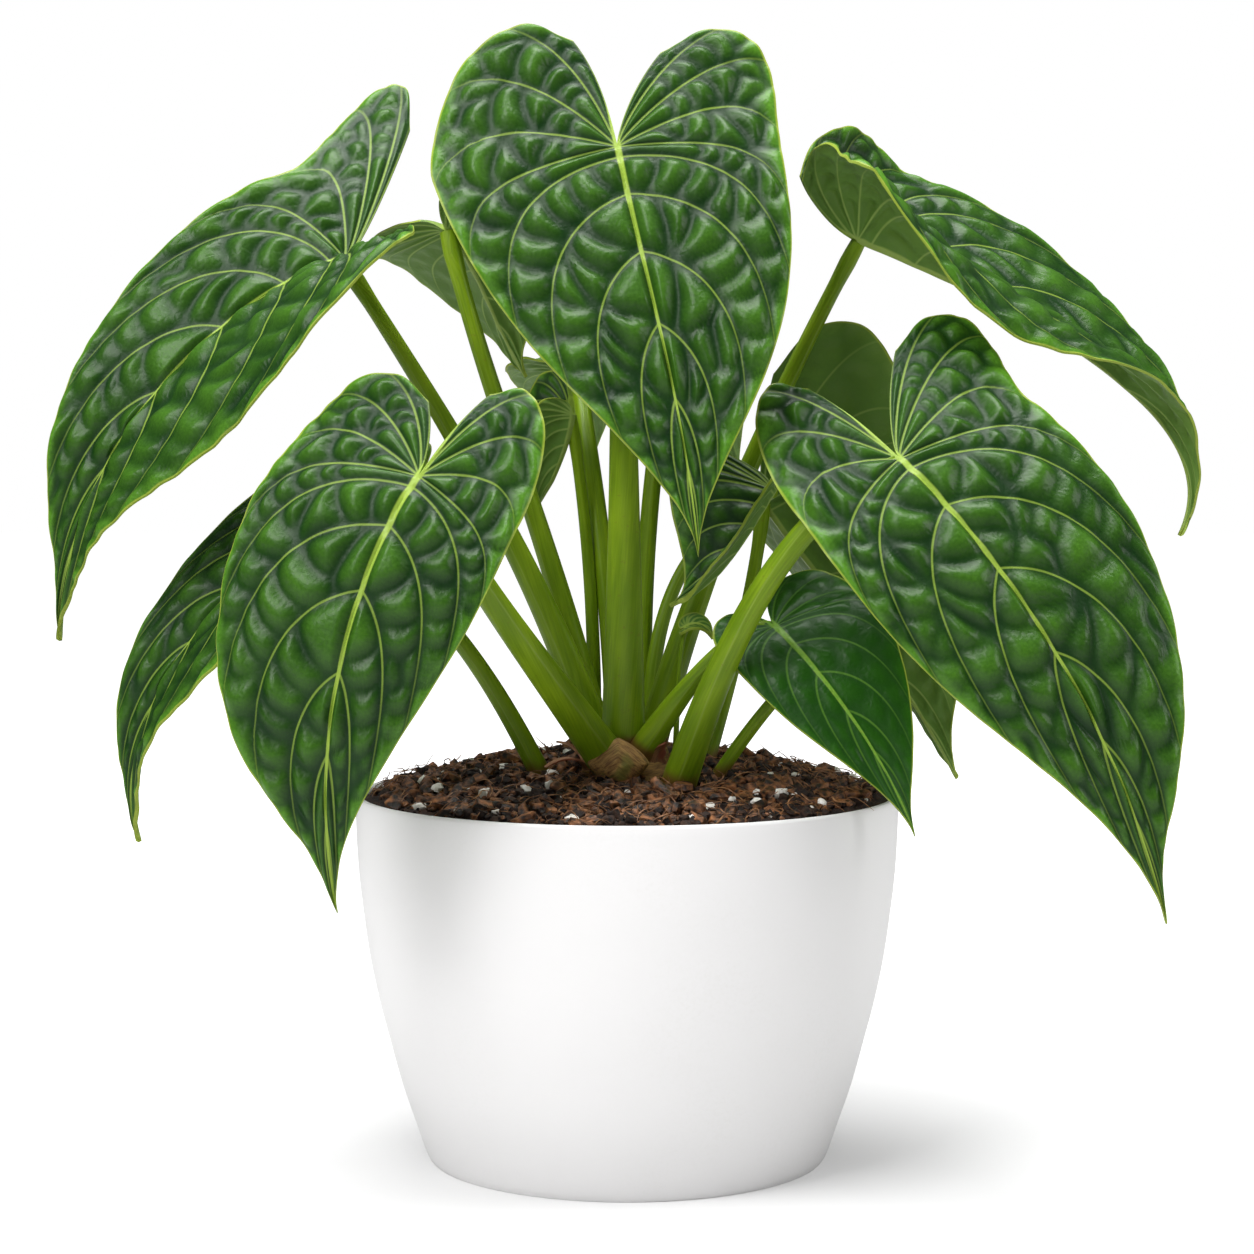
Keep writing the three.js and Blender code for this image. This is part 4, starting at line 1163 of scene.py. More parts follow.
@dataclass(frozen=True)
class Stalk:
    """One leaf stalk: a channelled stem that thickens at its foot and just under its blade."""

    name: str
    path: Path
    radii: Pair
    sides: int = 40
    rings: int = 50
    taper: float = 1.6
    channel: float = 0.16
    channel_angle: float = 0.5
    edge: float = 0.05
    edge_angle: float = 1.9
    edge_width: float = 0.13
    swelling: float = 0.2
    swelling_drop: float = 7
    swelling_length: float = 6
    swelling_radius: float = 3
    scar_start: float = 0.6
    scar_rate: float = 0.7

    def build(self) -> bpy.types.Object:
        """Sweeps the stalk and dresses it.

        Returns:
            The stalk.
        """
        curve = Bezier(self.path)
        share = np.linspace(0, 1, self.rings)
        centre, forward = curve.at(share)
        inwards = np.array(self.path[0], float) - np.array(self.path[3], float)
        inwards[2] = 0
        inwards = unit(inwards)
        top = unit(inwards - dot(inwards, forward) * forward)
        side = np.cross(forward, top)
        radius = self.radius(share, curve.length)
        turn = full_turn(self.sides)
        from_top = np.minimum(turn, 2 * np.pi - turn)
        ridge = bump_at(from_top - self.edge_angle, self.edge_width)
        section = 1 - self.channel * bump_at(from_top, self.channel_angle) + self.edge * ridge
        reach = radius[:, None] * section[None, :]
        points = centre[:, None] + top[:, None] * (reach * np.cos(turn))[..., None]
        points = points + side[:, None] * (reach * np.sin(turn))[..., None]
        vertices = points.reshape(-1, 3)
        faces = tube(self.rings, self.sides)
        made = make_object(f"petiole_{self.name}", vertices, faces, [StalkFinish().material()])
        along = np.repeat(share * curve.length, self.sides)
        around = np.tile(turn, self.rings) * np.repeat(radius, self.sides)
        add_values(made, "flat", np.stack([around, along, np.full_like(along, len(self.name))], axis=-1))
        add_values(made, "ridge", np.tile(ridge, self.rings))
        in_mix = vertices[:, 2] - soil_height(vertices[:, 0], vertices[:, 1])
        above_mix = np.maximum(in_mix, 0) * self.scar_rate + self.scar_start
        add_values(made, "foot", np.minimum(crown_distance(vertices), above_mix))
        return settle(made, "stalk", f"stalk_{self.name}")

    def radius(self, share: np.ndarray, length: float) -> np.ndarray:
        """Gives the stalk's radius, which swells a little under the blade.

        Args:
            share: Shares of the stalk's length.
            length: Its length.

        Returns:
            The radii.
        """
        base, tip = self.radii
        tapered = tip + (base - tip) * (1 - share) ** self.taper
        below_blade = (1 - share) * length
        swollen = self.swelling * bump_at(below_blade - self.swelling_drop, self.swelling_length)
        return tapered * (1 + swollen * min(tip / self.swelling_radius, 1))


STALKS = (
    Stalk("top", ((-1, -13, 128), (-1, -22, 186), (0, -30, 240), (-3, -26, 331)), (7.6, 3.2)),
    Stalk("lower_left", ((-4, -18, 131), (-27, -50, 167), (-45, -80, 192), (-62, -92, 226)), (7, 3.6)),
    Stalk("small_right", ((2, -17, 133), (18, -29, 159), (36, -30, 182), (47, -29, 177.5)), (5.8, 2)),
    Stalk("lower_right", ((12, -22, 112), (27, -50, 166), (44, -67, 213), (83, -62, 231)), (6.6, 3.4)),
    Stalk("upper_left", ((-7, -5, 132), (-29, -10, 199), (-61, -12, 248), (-92, -6, 296)), (6.2, 2.7)),
    Stalk("upper_right", ((6, -8, 132), (24, 6, 199), (54, 17, 261), (77, 12, 304)), (5.8, 2.5)),
    Stalk("far_left", ((-21, -9, 113), (-42, -14, 160), (-61, -18, 189), (-96, -16, 211)), (4.2, 2.6)),
    Stalk("back_left", ((-8, 4, 132), (-22, 10, 198), (-49, 14, 258), (-60, 20, 308)), (4.8, 2.8)),
    Stalk("inner_right", ((8, 6, 130), (4, 12, 200), (34, 36, 212), (48, 2, 221)), (3.2, 2.1)),
    Stalk("rear_left", ((-3, 11, 120), (-5, 20, 200), (-14, 30, 235), (-17, 67, 261)), (3.6, 3)),
    Stalk("rear_right", ((5, 13, 120), (4, 18, 190), (8, 22, 225), (13, 33, 258)), (3.4, 2.8)),
    Stalk("inner_left", ((-12, 14, 118), (-9, 17, 168), (-14, 28, 215), (-19, 22.5, 246.5)), (2.8, 1.9)),
    Stalk("back_right", ((22, 3, 114), (32, 12, 149), (42, 26, 177), (47, 36.8, 216.4)), (2.8, 2.2)),
    Stalk("low_right", ((20, -13, 112), (36, -15, 141), (57, -17, 169), (85, -18, 186)), (2.8, 2)),
    Stalk("newest", ((15, -13, 116), (17, -14, 165), (17, -13, 173), (20, -12, 177)), (1.3, 0.8), sides=20),
)


@dataclass(frozen=True)
class DryFinish(Finish):
    """Dead or woody plant skin with fibres along it."""

    dark: Colour
    light: Colour
    tint: Colour
    roughness: float = 0.75

    def paint(self, g: Graph, shader: bpy.types.Node) -> None:
        """Draws fibres and tinted blotches.

        Args:
            g: The material's graph.
            shader: Its shader.
        """
        place = g.value("flat", "Vector")
        fibres = g.noise(g.scaled(place, (1.5, 0.18, 1.0)), 1.0, detail=5.0, roughness=0.65)
        blotches = g.noise(place, 0.12)
        colour = g.mix(g.ease(fibres, 0.3, 0.7), self.dark, self.light)
        colour = g.mix(g.math("MULTIPLY", g.ease(blotches, 0.48, 0.66), 0.7), colour, self.tint)
        rough = g.ease(fibres, 0.2, 0.8, low=self.roughness - 0.15, high=self.roughness + 0.1)
        g.dress(shader, colour, rough, g.bump(fibres, distance=0.0006, strength=0.8))


CROWN_SKIN = DryFinish("crown skin", (0.14, 0.06, 0.018), (0.55, 0.32, 0.1), (0.2, 0.22, 0.035))
BRACT_SKIN = DryFinish("dry bract", (0.12, 0.04, 0.018), (0.45, 0.22, 0.1), (0.32, 0.07, 0.04), 0.6)


@dataclass(frozen=True)
class Bract:
    """A dry, pointed sheath that stands at the crown's side."""

    name: str
    bearing: float
    foot: float
    length: float
    lean: float
    rows: int = 18
    columns: int = 10
    foot_radius: float = 12.5
    outward: float = 2.4
    half_width: float = 5.5
    tip_width: float = 0.4
    raggedness: float = 0.12
    cup: float = 1.6
    ripple: float = 0.35
    half_thickness: float = 0.3
    skin_width: float = 5

    def grid(self) -> np.ndarray:
        """Lays out its middle surface.

        Returns:
            Points by row and column.
        """
        bearing = math.radians(self.bearing - 90)
        out = np.array([math.cos(bearing), math.sin(bearing), 0])
        side = np.array([-math.sin(bearing), math.cos(bearing), 0])
        foot = np.array([*CROWN_PLACE, self.foot])
        foot = foot + out * np.array([1, CROWN_DEPTH, 1]) * self.foot_radius
        u = np.linspace(0, 1, self.rows)[:, None, None]
        across = np.linspace(-1, 1, self.columns)[None, :, None]
        angle = math.radians(self.lean) * u**2
        spine = foot + out * (self.length * u * np.sin(angle) + self.outward * u)
        spine = spine + np.array([0, 0, 1]) * self.length * u * np.cos(angle)
        # Slanting waves make the border ragged and ripple the sheet.
        ragged = 1 + self.raggedness * np.sin(23 * u + 3 * across + self.bearing)
        width = (self.half_width * (1 - u**2) + self.tip_width) * ragged
        cup = -self.cup * across**2 * (1 - u) + self.ripple * np.sin(5 * across + 6 * u)
        return spine + side * across * width + out * cup

    def build(self) -> bpy.types.Object:
        """Builds the bract as a thin closed sheet.

        Returns:
            The bract.
        """
        middle = self.grid()
        along = np.gradient(middle, axis=0)
        across = np.gradient(middle, axis=1)
        lift = unit(np.cross(across, along)) * self.half_thickness
        skins = np.concatenate([middle + lift, middle - lift])
        count = self.rows * self.columns
        ids = np.arange(count).reshape(self.rows, self.columns)
        corners = [ids[:-1, :-1], ids[:-1, 1:], ids[1:, 1:], ids[1:, :-1]]
        faces = [tuple(quad) for quad in np.stack(corners, -1).reshape(-1, 4).tolist()]
        faces += [tuple(v + count for v in reversed(quad)) for quad in faces]
        faces += wall([*ids[0, :], *ids[1:, -1], *ids[-1, -2::-1], *ids[-2:0:-1, 0]], count)
        vertices, materials = skins.reshape(-1, 3), [BRACT_SKIN.material()]
        made = make_object(f"bract_{self.name}", vertices, faces, materials, sharp_degrees=80)
        u = np.repeat(np.linspace(0, self.length, self.rows), self.columns)
        v = np.tile(np.linspace(-self.skin_width, self.skin_width, self.columns), self.rows)
        flat = np.stack([v, u, np.full_like(u, self.bearing)], axis=-1)
        add_values(made, "flat", np.concatenate([flat, flat]))
        return settle(made, "crown")


BRACTS = (
    Bract("front_left", -62, 124, 17, 62),
    Bract("left", -100, 126, 15, 35),
    Bract("front_right", 40, 128, 13, 20),
    Bract("right", 95, 126, 16, 40),
    Bract("rear_right", 165, 126, 15, 30),
    Bract("rear_left", -150, 127, 14, 45),
)


@dataclass(frozen=True)
class Crown:
    """The short stem with its leaf scars."""

    segments: int = 112
    rows: int = 70
    scar_step: float = 5.2
    scar_slant: float = 2
    scar_width: float = 0.5
    roughen: float = 0.55
    fibre_share: float = 0.5
    rough_radius: float = 8
    skin_radius: float = 14

    def build(self) -> bpy.types.Object:
        """Turns the crown, roughens it and dresses it.

        Returns:
            The crown.
        """
        t = np.linspace(0, len(CROWN_RADII) - 1, self.rows)
        radius = np.maximum(spline(CROWN_RADII, t), 0)
        height = spline(CROWN_HEIGHTS, t)
        turn = full_turn(self.segments)
        # Nine fibres round the stem, which wander and break up with height.
        fibres = np.sin(9 * turn + 2.2 * np.sin(3 * turn))[None, :] * np.cos(0.9 * height)[:, None]
        slanted = height[:, None] + self.scar_slant * np.sin(turn)[None, :]
        scars = -bump_at(slanted % self.scar_step - self.scar_step / 2, self.scar_width)
        rough = self.roughen * (self.fibre_share * fibres + scars)
        reach = radius[:, None] + rough * np.minimum(radius / self.rough_radius, 1)[:, None]
        x = CROWN_PLACE[0] + reach * np.cos(turn)
        y = CROWN_PLACE[1] + reach * np.sin(turn) * CROWN_DEPTH
        z = np.repeat(height[:, None], self.segments, axis=1)
        vertices = np.stack([x, y, z], axis=-1).reshape(-1, 3)
        faces = quads_round(np.arange(len(vertices)).reshape(self.rows, self.segments))
        made = make_object("crown_stem", vertices, faces, [CROWN_SKIN.material()])
        around = np.tile(turn * self.skin_radius, self.rows)
        add_values(made, "flat", np.stack([vertices[:, 2], around, np.zeros(len(around))], axis=-1))
        return settle(made, "crown", "crown")


@dataclass(frozen=True)
class Shield:
    """The pointed shield of an old leaf base that swells from the crown's front."""

    place: Point = (-2.8, -28.5, 134.0)
    width: float = 10.0
    height: float = 8.2
    depth: float = 5.5
    segments: int = 112
    rings: int = 16
    roundness: float = 1.3
    wrinkle: float = 0.35

    def ring(self, side: int, share: float, turn: np.ndarray) -> np.ndarray:
        """Draws one ring of points round the shield's middle.

        Args:
            side: -1 for the front face and 1 for the back.
            share: The ring's reach, as a share of the shield's.
            turn: The angles of its points.

        Returns:
            The points.
        """
        power = self.roundness
        pointed = 1 / (np.abs(np.cos(turn)) ** power + np.abs(np.sin(turn)) ** power) ** (1 / power)
        wrinkle = self.wrinkle * np.sin(9 * share) * np.sin(turn * 2)
        x = self.width * share * pointed * np.cos(turn)
        y = side * self.depth * np.sqrt(1 - share * share) + wrinkle * (1 - share)
        z = self.height * share * pointed * np.sin(turn)
        return np.stack([x, y, z], axis=-1)

    def build(self) -> bpy.types.Object:
        """Builds the shield from rings that run from its front to its back.

        Returns:
            The shield.
        """
        share = np.sin(np.linspace(0, np.pi / 2, self.rings))
        turn = full_turn(self.segments)
        rings = [self.ring(-1, r, turn) for r in share[1:]]
        rings += [self.ring(1, r, turn) for r in share[-2:0:-1]]
        points = np.concatenate([[[0, -self.depth, 0]], *rings, [[0, self.depth, 0]]])
        faces = closed_rings(len(rings), self.segments, anticlockwise=True)
        made = make_object("crown_shield", points + self.place, faces, [CROWN_SKIN.material()])
        # The skin's fibres run across the shield and bend towards its point.
        lined = points[:, 2] * 0.7 + np.abs(points[:, 0]) * 0.5
        add_values(made, "flat", np.stack([lined, points[:, 0], points[:, 1]], axis=-1))
        return settle(made, "crown")


@dataclass(frozen=True)
class EarthFinish(Finish):
    """Moist potting mix, bark or perlite: a mottled, rough surface."""

    dark: Colour
    light: Colour
    scale: float
    roughness: float
    relief: float

    def paint(self, g: Graph, shader: bpy.types.Node) -> None:
        """Draws mottling with specks in it.

        Args:
            g: The material's graph.
            shader: Its shader.
        """
        place = g.out("ShaderNodeTexCoord", "Object")
        mottle = g.noise(place, self.scale, detail=6.0, roughness=0.7)
        specks = {"Vector": place, "Scale": self.scale * 2.2}
        specks = g.out("ShaderNodeTexVoronoi", "Distance", specks)
        tone = g.math("ADD", g.math("MULTIPLY", mottle, 0.8), g.math("MULTIPLY", specks, 0.3))
        colour = g.mix(g.ease(tone, 0.42, 0.8), self.dark, self.light)
        rough = g.ease(mottle, 0.2, 0.8, low=self.roughness - 0.15, high=self.roughness)
        g.dress(shader, colour, rough, g.bump(tone, distance=self.relief, strength=0.9))


SOIL = EarthFinish("potting mix", (0.006, 0.002, 0.001), (0.055, 0.021, 0.008), 300, 0.9, 0.0014)
BARK = EarthFinish("bark chips", (0.007, 0.0024, 0.001), (0.4, 0.158, 0.054), 210, 0.6, 0.0014)
FIBRE = EarthFinish("coir fibres", (0.12, 0.045, 0.015), (0.48, 0.24, 0.1), 210, 0.65, 0.0003)
PERLITE = EarthFinish("perlite", (0.75, 0.71, 0.64), (0.97, 0.95, 0.92), 420, 0.8, 0.0004)


@dataclass(frozen=True)
class Chips:
    """One kind of loose piece in the mix, with the variants that are scattered."""

    name: str
    finish: EarthFinish
    size: Point
    density: float
    spacing: float
    scale: Pair
    seed: int
    variants: int = 4
    lift: float = 0.0
    curved: bool = False
    rings: int = 3
    around: int = 7
    squareness: float = 0.8
    dents: Pair = (-0.3, 0.22)
    stretch: Pair = (0.75, 1.2)
    strand_rings: int = 8
    strand_bend: float = 0.7
    strand_rise: float = 0.16
    strand_slope: float = 0.05
    strand_taper: float = 0.7

    SEEDS_APART = 31
    TREE = "scatter on mix"

    def variant(self, number: int) -> bpy.types.Object:
        """Makes one irregular lump, chip or strand.

        Args:
            number: Which variant.

        Returns:
            The object, in metres.
        """
        draw = np.random.default_rng(self.seed * self.SEEDS_APART + number)
        if self.curved:
            return self.strand(number, draw)
        latitude = np.linspace(-np.pi / 2, np.pi / 2, self.rings + 2)[1:-1]
        turn = full_turn(self.around)
        level = np.cos(latitude)
        upright = np.repeat(np.sin(latitude)[:, None], self.around, axis=1)
        ring = np.stack([np.outer(level, np.cos(turn)), np.outer(level, np.sin(turn)), upright], axis=-1)
        points = np.concatenate([[[0, 0, -1]], ring.reshape(-1, 3), [[0, 0, 1]]])
        points = np.sign(points) * np.abs(points) ** self.squareness
        points = points * (1 + draw.uniform(*self.dents, (len(points), 1)))
        points = points * np.array(self.size) / 2 * draw.uniform(*self.stretch, 3)
        faces = closed_rings(self.rings, self.around)
        materials = [self.finish.material()]
        return make_object(f"{self.name}_{number}", points, faces, materials, sharp_degrees=45)

    def strand(self, number: int, draw: np.random.Generator) -> bpy.types.Object:
        """Makes one curved strand.

        Args:
            number: Which variant.
            draw: The seeded source of chance.

        Returns:
            The object, in metres.
        """
        length, width, height = self.size
        u = np.linspace(-1, 1, self.strand_rings)
        bend = draw.uniform(-self.strand_bend, self.strand_bend, 3)
        sideways = length * (bend[0] * u**2 + bend[1] * u**3)
        upwards = length * self.strand_rise * (1 - u**2) + length * self.strand_slope * bend[2] * u
        centre = np.stack([u * length / 2, sideways, upwards], axis=-1)
        thick = (1 - self.strand_taper * np.abs(u) ** 3)[:, None]
        corners = np.array([[0, -width, 0], [0, 0, -height], [0, width, 0], [0, 0, height]]) / 2
        points = (centre[:, None] + corners[None] * thick[:, :, None]).reshape(-1, 3)
        faces = tube(self.strand_rings, len(corners))
        return make_object(f"{self.name}_{number}", points, faces, [self.finish.material()])

    @classmethod
    def tree(cls) -> bpy.types.NodeTree:
        """Builds, once, the tree that scatters pieces on a surface where its open value allows.

        Returns:
            The tree.
        """
        if cls.TREE in bpy.data.node_groups:
            return bpy.data.node_groups[cls.TREE]
        tree = bpy.data.node_groups.new(cls.TREE, "GeometryNodeTree")
        numbers = ("Density", "Spacing", "Smallest", "Largest", "Lift")
        sockets = {"Surface": "Geometry", "Pieces": "Collection", **dict.fromkeys(numbers, "Float")}
        sockets.update({"Seed": "Int", "Material": "Material"})
        for key, kind in sockets.items():
            tree.interface.new_socket(key, in_out="INPUT", socket_type=f"NodeSocket{kind}")
        tree.interface.new_socket("Mesh", in_out="OUTPUT", socket_type="NodeSocketGeometry")
        g = Graph(tree)
        given = g.add("NodeGroupInput").outputs
        kind, inputs = "GeometryNodeInputNamedAttribute", {"Name": "open"}
        allowed = g.out(kind, "Attribute", inputs, data_type="FLOAT")
        limits = {"Distance Min": given["Spacing"], "Density Max": given["Density"]}
        inputs = {"Mesh": given["Surface"], **limits, "Density Factor": allowed, "Seed": given["Seed"]}
        spread = g.add("GeometryNodeDistributePointsOnFaces", inputs, distribute_method="POISSON")
        inputs = {"Min": (-0.5, -0.5, 0.0), "Max": (0.5, 0.5, 6.283), "Seed": given["Seed"]}
        spin = g.out("FunctionNodeRandomValue", "Value", inputs, data_type="FLOAT_VECTOR")
        euler = g.out("FunctionNodeEulerToRotation", "Rotation", {"Euler": spin})
        inputs = {"Rotation": spread.outputs["Rotation"], "Rotate By": euler}
        turned = g.out("FunctionNodeRotateRotation", "Rotation", inputs, rotation_space="LOCAL")
        next_seed = g.math("ADD", given["Seed"], 1)
        inputs = {"Min": given["Smallest"], "Max": given["Largest"], "Seed": next_seed}
        size = g.out("FunctionNodeRandomValue", "Value", inputs, data_type="FLOAT")
        inputs = {"Collection": given["Pieces"], "Separate Children": True, "Reset Children": True}
        pieces = g.out("GeometryNodeCollectionInfo", "Instances", inputs)
        inputs = {"Points": spread.outputs["Points"], "Instance": pieces, "Pick Instance": True}
        inputs.update({"Rotation": turned, "Scale": size})
        placed = g.out("GeometryNodeInstanceOnPoints", "Instances", inputs)
        upward = g.out("ShaderNodeCombineXYZ", "Vector", {"Z": given["Lift"]})
        inputs = {"Instances": placed, "Translation": upward}
        raised = g.out("GeometryNodeTranslateInstances", "Instances", inputs)
        real = g.out("GeometryNodeRealizeInstances", "Geometry", {"Geometry": raised})
        inputs = {"Geometry": real, "Material": given["Material"]}
        g.add("NodeGroupOutput", {"Mesh": g.out("GeometryNodeSetMaterial", "Geometry", inputs)})
        return tree

    def build(self, surface: bpy.types.Object) -> bpy.types.Object:
        """Scatters the pieces on the mix and turns them into one plain mesh.

        Args:
            surface: The mix, with its open value.

        Returns:
            The scattered pieces.
        """
        collection = bpy.data.collections.new(f"{self.name} variants")
        for number in range(self.variants):
            variant = self.variant(number)
            bpy.context.scene.collection.objects.unlink(variant)
            collection.objects.link(variant)
        carrier = bpy.data.objects.new(f"{self.name} carrier", surface.data)
        bpy.context.scene.collection.objects.link(carrier)
        modifier = carrier.modifiers.new("scatter", "NODES")
        modifier.node_group = self.tree()
        values = {"Pieces": collection, "Density": self.density, "Spacing": self.spacing * METRES,
                  "Smallest": self.scale[0], "Largest": self.scale[1], "Lift": self.lift * METRES,
                  "Seed": self.seed, "Material": self.finish.material()}
        for item in modifier.node_group.interface.items_tree:
            if item.in_out == "INPUT" and item.name in values:
                modifier[item.identifier] = values[item.name]
        evaluated = carrier.evaluated_get(bpy.context.evaluated_depsgraph_get())
        mesh = bpy.data.meshes.new_from_object(evaluated)
        made = bpy.data.objects.new(self.name, mesh)
        bpy.context.scene.collection.objects.link(made)
        bpy.data.objects.remove(carrier)
        for variant in list(collection.objects):
            bpy.data.objects.remove(variant)
        bpy.data.collections.remove(collection)
        return settle(made, "soil")


CHIPS = (
    Chips("bark_chips", BARK, (8.5, 5, 3.8), 90000, 4.6, (0.5, 1.15), seed=3, variants=8, lift=1.3),
    Chips("mix_crumbs", SOIL, (4.0, 3.1, 2.5), 260000, 2.3, (0.5, 1.3), seed=5, variants=5, lift=0.7),
    Chips("fine_crumbs", BARK, (2.4, 1.7, 1.3), 260000, 2.7, (0.5, 1.3), seed=11, variants=4, lift=0.9),
    Chips("coir_fibres", FIBRE, (8, 0.42, 0.34), 60000, 2.6, (0.4, 1.3), seed=7, variants=8, lift=2.0,
          curved=True),
    Chips("perlite_grains", PERLITE, (4.4, 3.5, 2.8), 9500, 6.5, (0.35, 1.2), seed=17, variants=5,
          lift=1.5),
)


@dataclass(frozen=True)
class PottingMix:
    """The mix in the pot, closed down to the pot's floor, and the pieces that lie in its surface."""

    rings: int = 90
    segments: int = 240
    inner_heights: tuple[float, ...] = (110, 82, 54, 26, POT_FLOOR)
    edge_below: float = 1
    crumb_height: float = 0.55
    crumb_ease: float = 0.06
    top_band: float = 6
    free_of_rim: float = 4.2
    free_of_stems: float = 1.0
    free_fade: float = 1.5
    stem_share: float = 0.25
    stem_samples: int = 24

    def fine_height(self, x: np.ndarray, y: np.ndarray) -> np.ndarray:
        """Adds small crumbs to the mix's height.

        Args:
            x: Places to the right.
            y: Places to the back.

        Returns:
            Heights in millimetres.
        """
        inside = 1 - (np.hypot(x, y) / (POT_RADIUS - POT_WALL)) ** 2
        # Short waves that run out of step with each other.
        crumbs = np.sin(1.9 * x + 1.1 * np.sin(1.3 * y)) * np.sin(1.7 * y + 1.2 * np.sin(1.5 * x))
        return soil_height(x, y) + self.crumb_height * np.minimum(inside / self.crumb_ease, 1) * crumbs

    def build(self) -> list[bpy.types.Object]:
        """Builds the mix and scatters its loose pieces.

        Returns:
            The mix and each kind of loose piece.
        """
        rim = Pot().inner_radius(POT_HEIGHT - SOIL_EDGE_DROP - self.edge_below) - GAP
        turn = full_turn(self.segments)
        layers = [np.array([[0, 0, float(soil_height(np.zeros(1), np.zeros(1))[0])]])]
        for k in range(1, self.rings + 1):
            radius = rim * k / self.rings
            x, y = radius * np.cos(turn), radius * np.sin(turn)
            layers.append(np.stack([x, y, self.fine_height(x, y)], axis=-1))
        for height in self.inner_heights:
            radius = Pot().inner_radius(height) - GAP
            flat = np.full_like(turn, max(height, POT_FLOOR + GAP))
            layers.append(np.stack([radius * np.cos(turn), radius * np.sin(turn), flat], axis=-1))
        layers.append(np.array([[0, 0, POT_FLOOR + GAP]]))
        vertices = np.concatenate(layers)
        faces = closed_rings(len(layers) - 2, self.segments, anticlockwise=True)
        made = make_object("potting_mix", vertices, faces, [SOIL.material()], sharp_degrees=70)
        add_values(made, "open", self.open_ground(vertices, rim))
        settle(made, "soil", "soil")
        return [made, *(kind.build(made) for kind in CHIPS)]

    def open_ground(self, vertices: np.ndarray, rim: float) -> np.ndarray:
        """Marks where loose pieces may lie: on the top, off the rim and clear of crown and stalks.

        Args:
            vertices: The mix's points.
            rim: The radius of its edge.

        Returns:
            A number from 0 to 1 for each point.
        """
        radius = np.hypot(vertices[:, 0], vertices[:, 1])
        free = np.clip((rim - self.free_of_rim - radius) / self.free_fade, 0, 1)
        free = free * (vertices[:, 2] > POT_HEIGHT - self.top_band)
        gaps = [crown_distance(vertices)]
        for stalk in STALKS:
            centre, _ = Bezier(stalk.path).at(np.linspace(0, self.stem_share, self.stem_samples))
            apart = np.linalg.norm(vertices[:, None] - centre[None], axis=-1).min(axis=1)
            gaps.append(apart - stalk.radii[0])
        for gap in gaps:
            free = free * np.clip((gap - self.free_of_stems) / self.free_fade, 0, 1)
        return free


@dataclass(frozen=True)
class PotFinish(Finish):
    """Smooth white plastic with a faint unevenness and the lightest dust."""

    name: str = "white pot"
    white: Colour = (0.88, 0.871, 0.871)
    dusty: Colour = (0.84, 0.83, 0.82)
    roughness: float = 0.3
    coat: float = 0.15
    coat_roughness: float = 0.2

    def paint(self, g: Graph, shader: bpy.types.Node) -> None:
        """Draws clouds of dust on slightly uneven plastic.

        Args:
            g: The material's graph.
            shader: Its shader.
        """
        place = g.out("ShaderNodeTexCoord", "Object")
        clouds = g.ease(g.noise(place, 14.0), 0.45, 0.8)
        dust = g.ease(g.noise(place, 900.0, detail=4.0), 0.4, 0.8)
        colour = g.mix(g.math("MULTIPLY", clouds, dust), self.white, self.dusty)
        smears = g.noise(place, 40.0, detail=4.0)
        rough = g.ease(smears, 0.3, 0.75, low=self.roughness, high=self.roughness + 0.12)
        uneven = g.bump(g.noise(place, 160.0, detail=2.0), distance=0.00008, strength=0.35)
        g.dress(shader, colour, rough, uneven)
        shader.inputs["Coat Weight"].default_value = self.coat
        shader.inputs["Coat Roughness"].default_value = self.coat_roughness


@dataclass(frozen=True)
class Pot:
    """The tapered pot, turned from one outline of radii and heights."""

    radii: tuple[float, ...] = (64.5, 66.6, 70.8, 75.2, 79, 82.6, 85.4, 87.4, 89, 89.8, 90, 89.3)
    heights: tuple[float, ...] = (0, 1.2, 13, 26, 40, 54, 68, 82, 96, 110, 120.3, 121.4)
    lip_radii: tuple[float, ...] = (88.9, 88.5, 88.0, 87.6)
    lip_drops: tuple[float, ...] = (0.02, 0.02, 0.3, 0.9)
    inside_drop: float = 2.5
    segments: int = 160
    refine: int = 6
    foot_steps: int = 4
    rim_steps: int = 9
    inside_steps: int = 24

    def inner_radius(self, height: float) -> float:
        """Gives the radius inside the wall at a height."""
        return float(np.interp(height, self.heights, self.radii)) - POT_WALL

    def outline(self) -> np.ndarray:
        """Draws the pot's section, up the outside and down the inside.

        Returns:
            Radii and heights.
        """
        last = len(self.radii) - 1
        foot = np.linspace(0, 1, self.foot_steps)
        side = np.linspace(1, last - 2, self.refine * (last - 3) + 1)[1:]
        rim = np.linspace(last - 2, last, self.rim_steps)[1:]
        t = np.concatenate([foot, side, rim])
        radius = np.minimum(spline(self.radii, t), POT_RADIUS)
        outside = np.stack([radius, spline(self.heights, t)], axis=-1)
        lip = np.stack([self.lip_radii, POT_HEIGHT - np.array(self.lip_drops)], axis=-1)
        down = np.linspace(POT_HEIGHT - self.inside_drop, POT_FLOOR, self.inside_steps)
        inside = np.stack([[self.inner_radius(z) for z in down], down], axis=-1)
        return np.concatenate([outside, lip, inside])

    def build(self) -> bpy.types.Object:
        """Turns the pot and dresses it.

        Returns:
            The pot.
        """
        rings = self.outline()
        turn = full_turn(self.segments)
        x = rings[:, :1] * np.cos(turn)
        y = rings[:, :1] * np.sin(turn)
        z = np.repeat(rings[:, 1:], self.segments, axis=1)
        sides = np.stack([x, y, z], axis=-1).reshape(-1, 3)
        vertices = np.concatenate([[[0, 0, 0]], sides, [[0, 0, POT_FLOOR]]])
        faces = closed_rings(len(rings), self.segments)
        made = make_object("white_pot", vertices, faces, [PotFinish().material()], sharp_degrees=50)
        return settle(made, "pot", "pot")


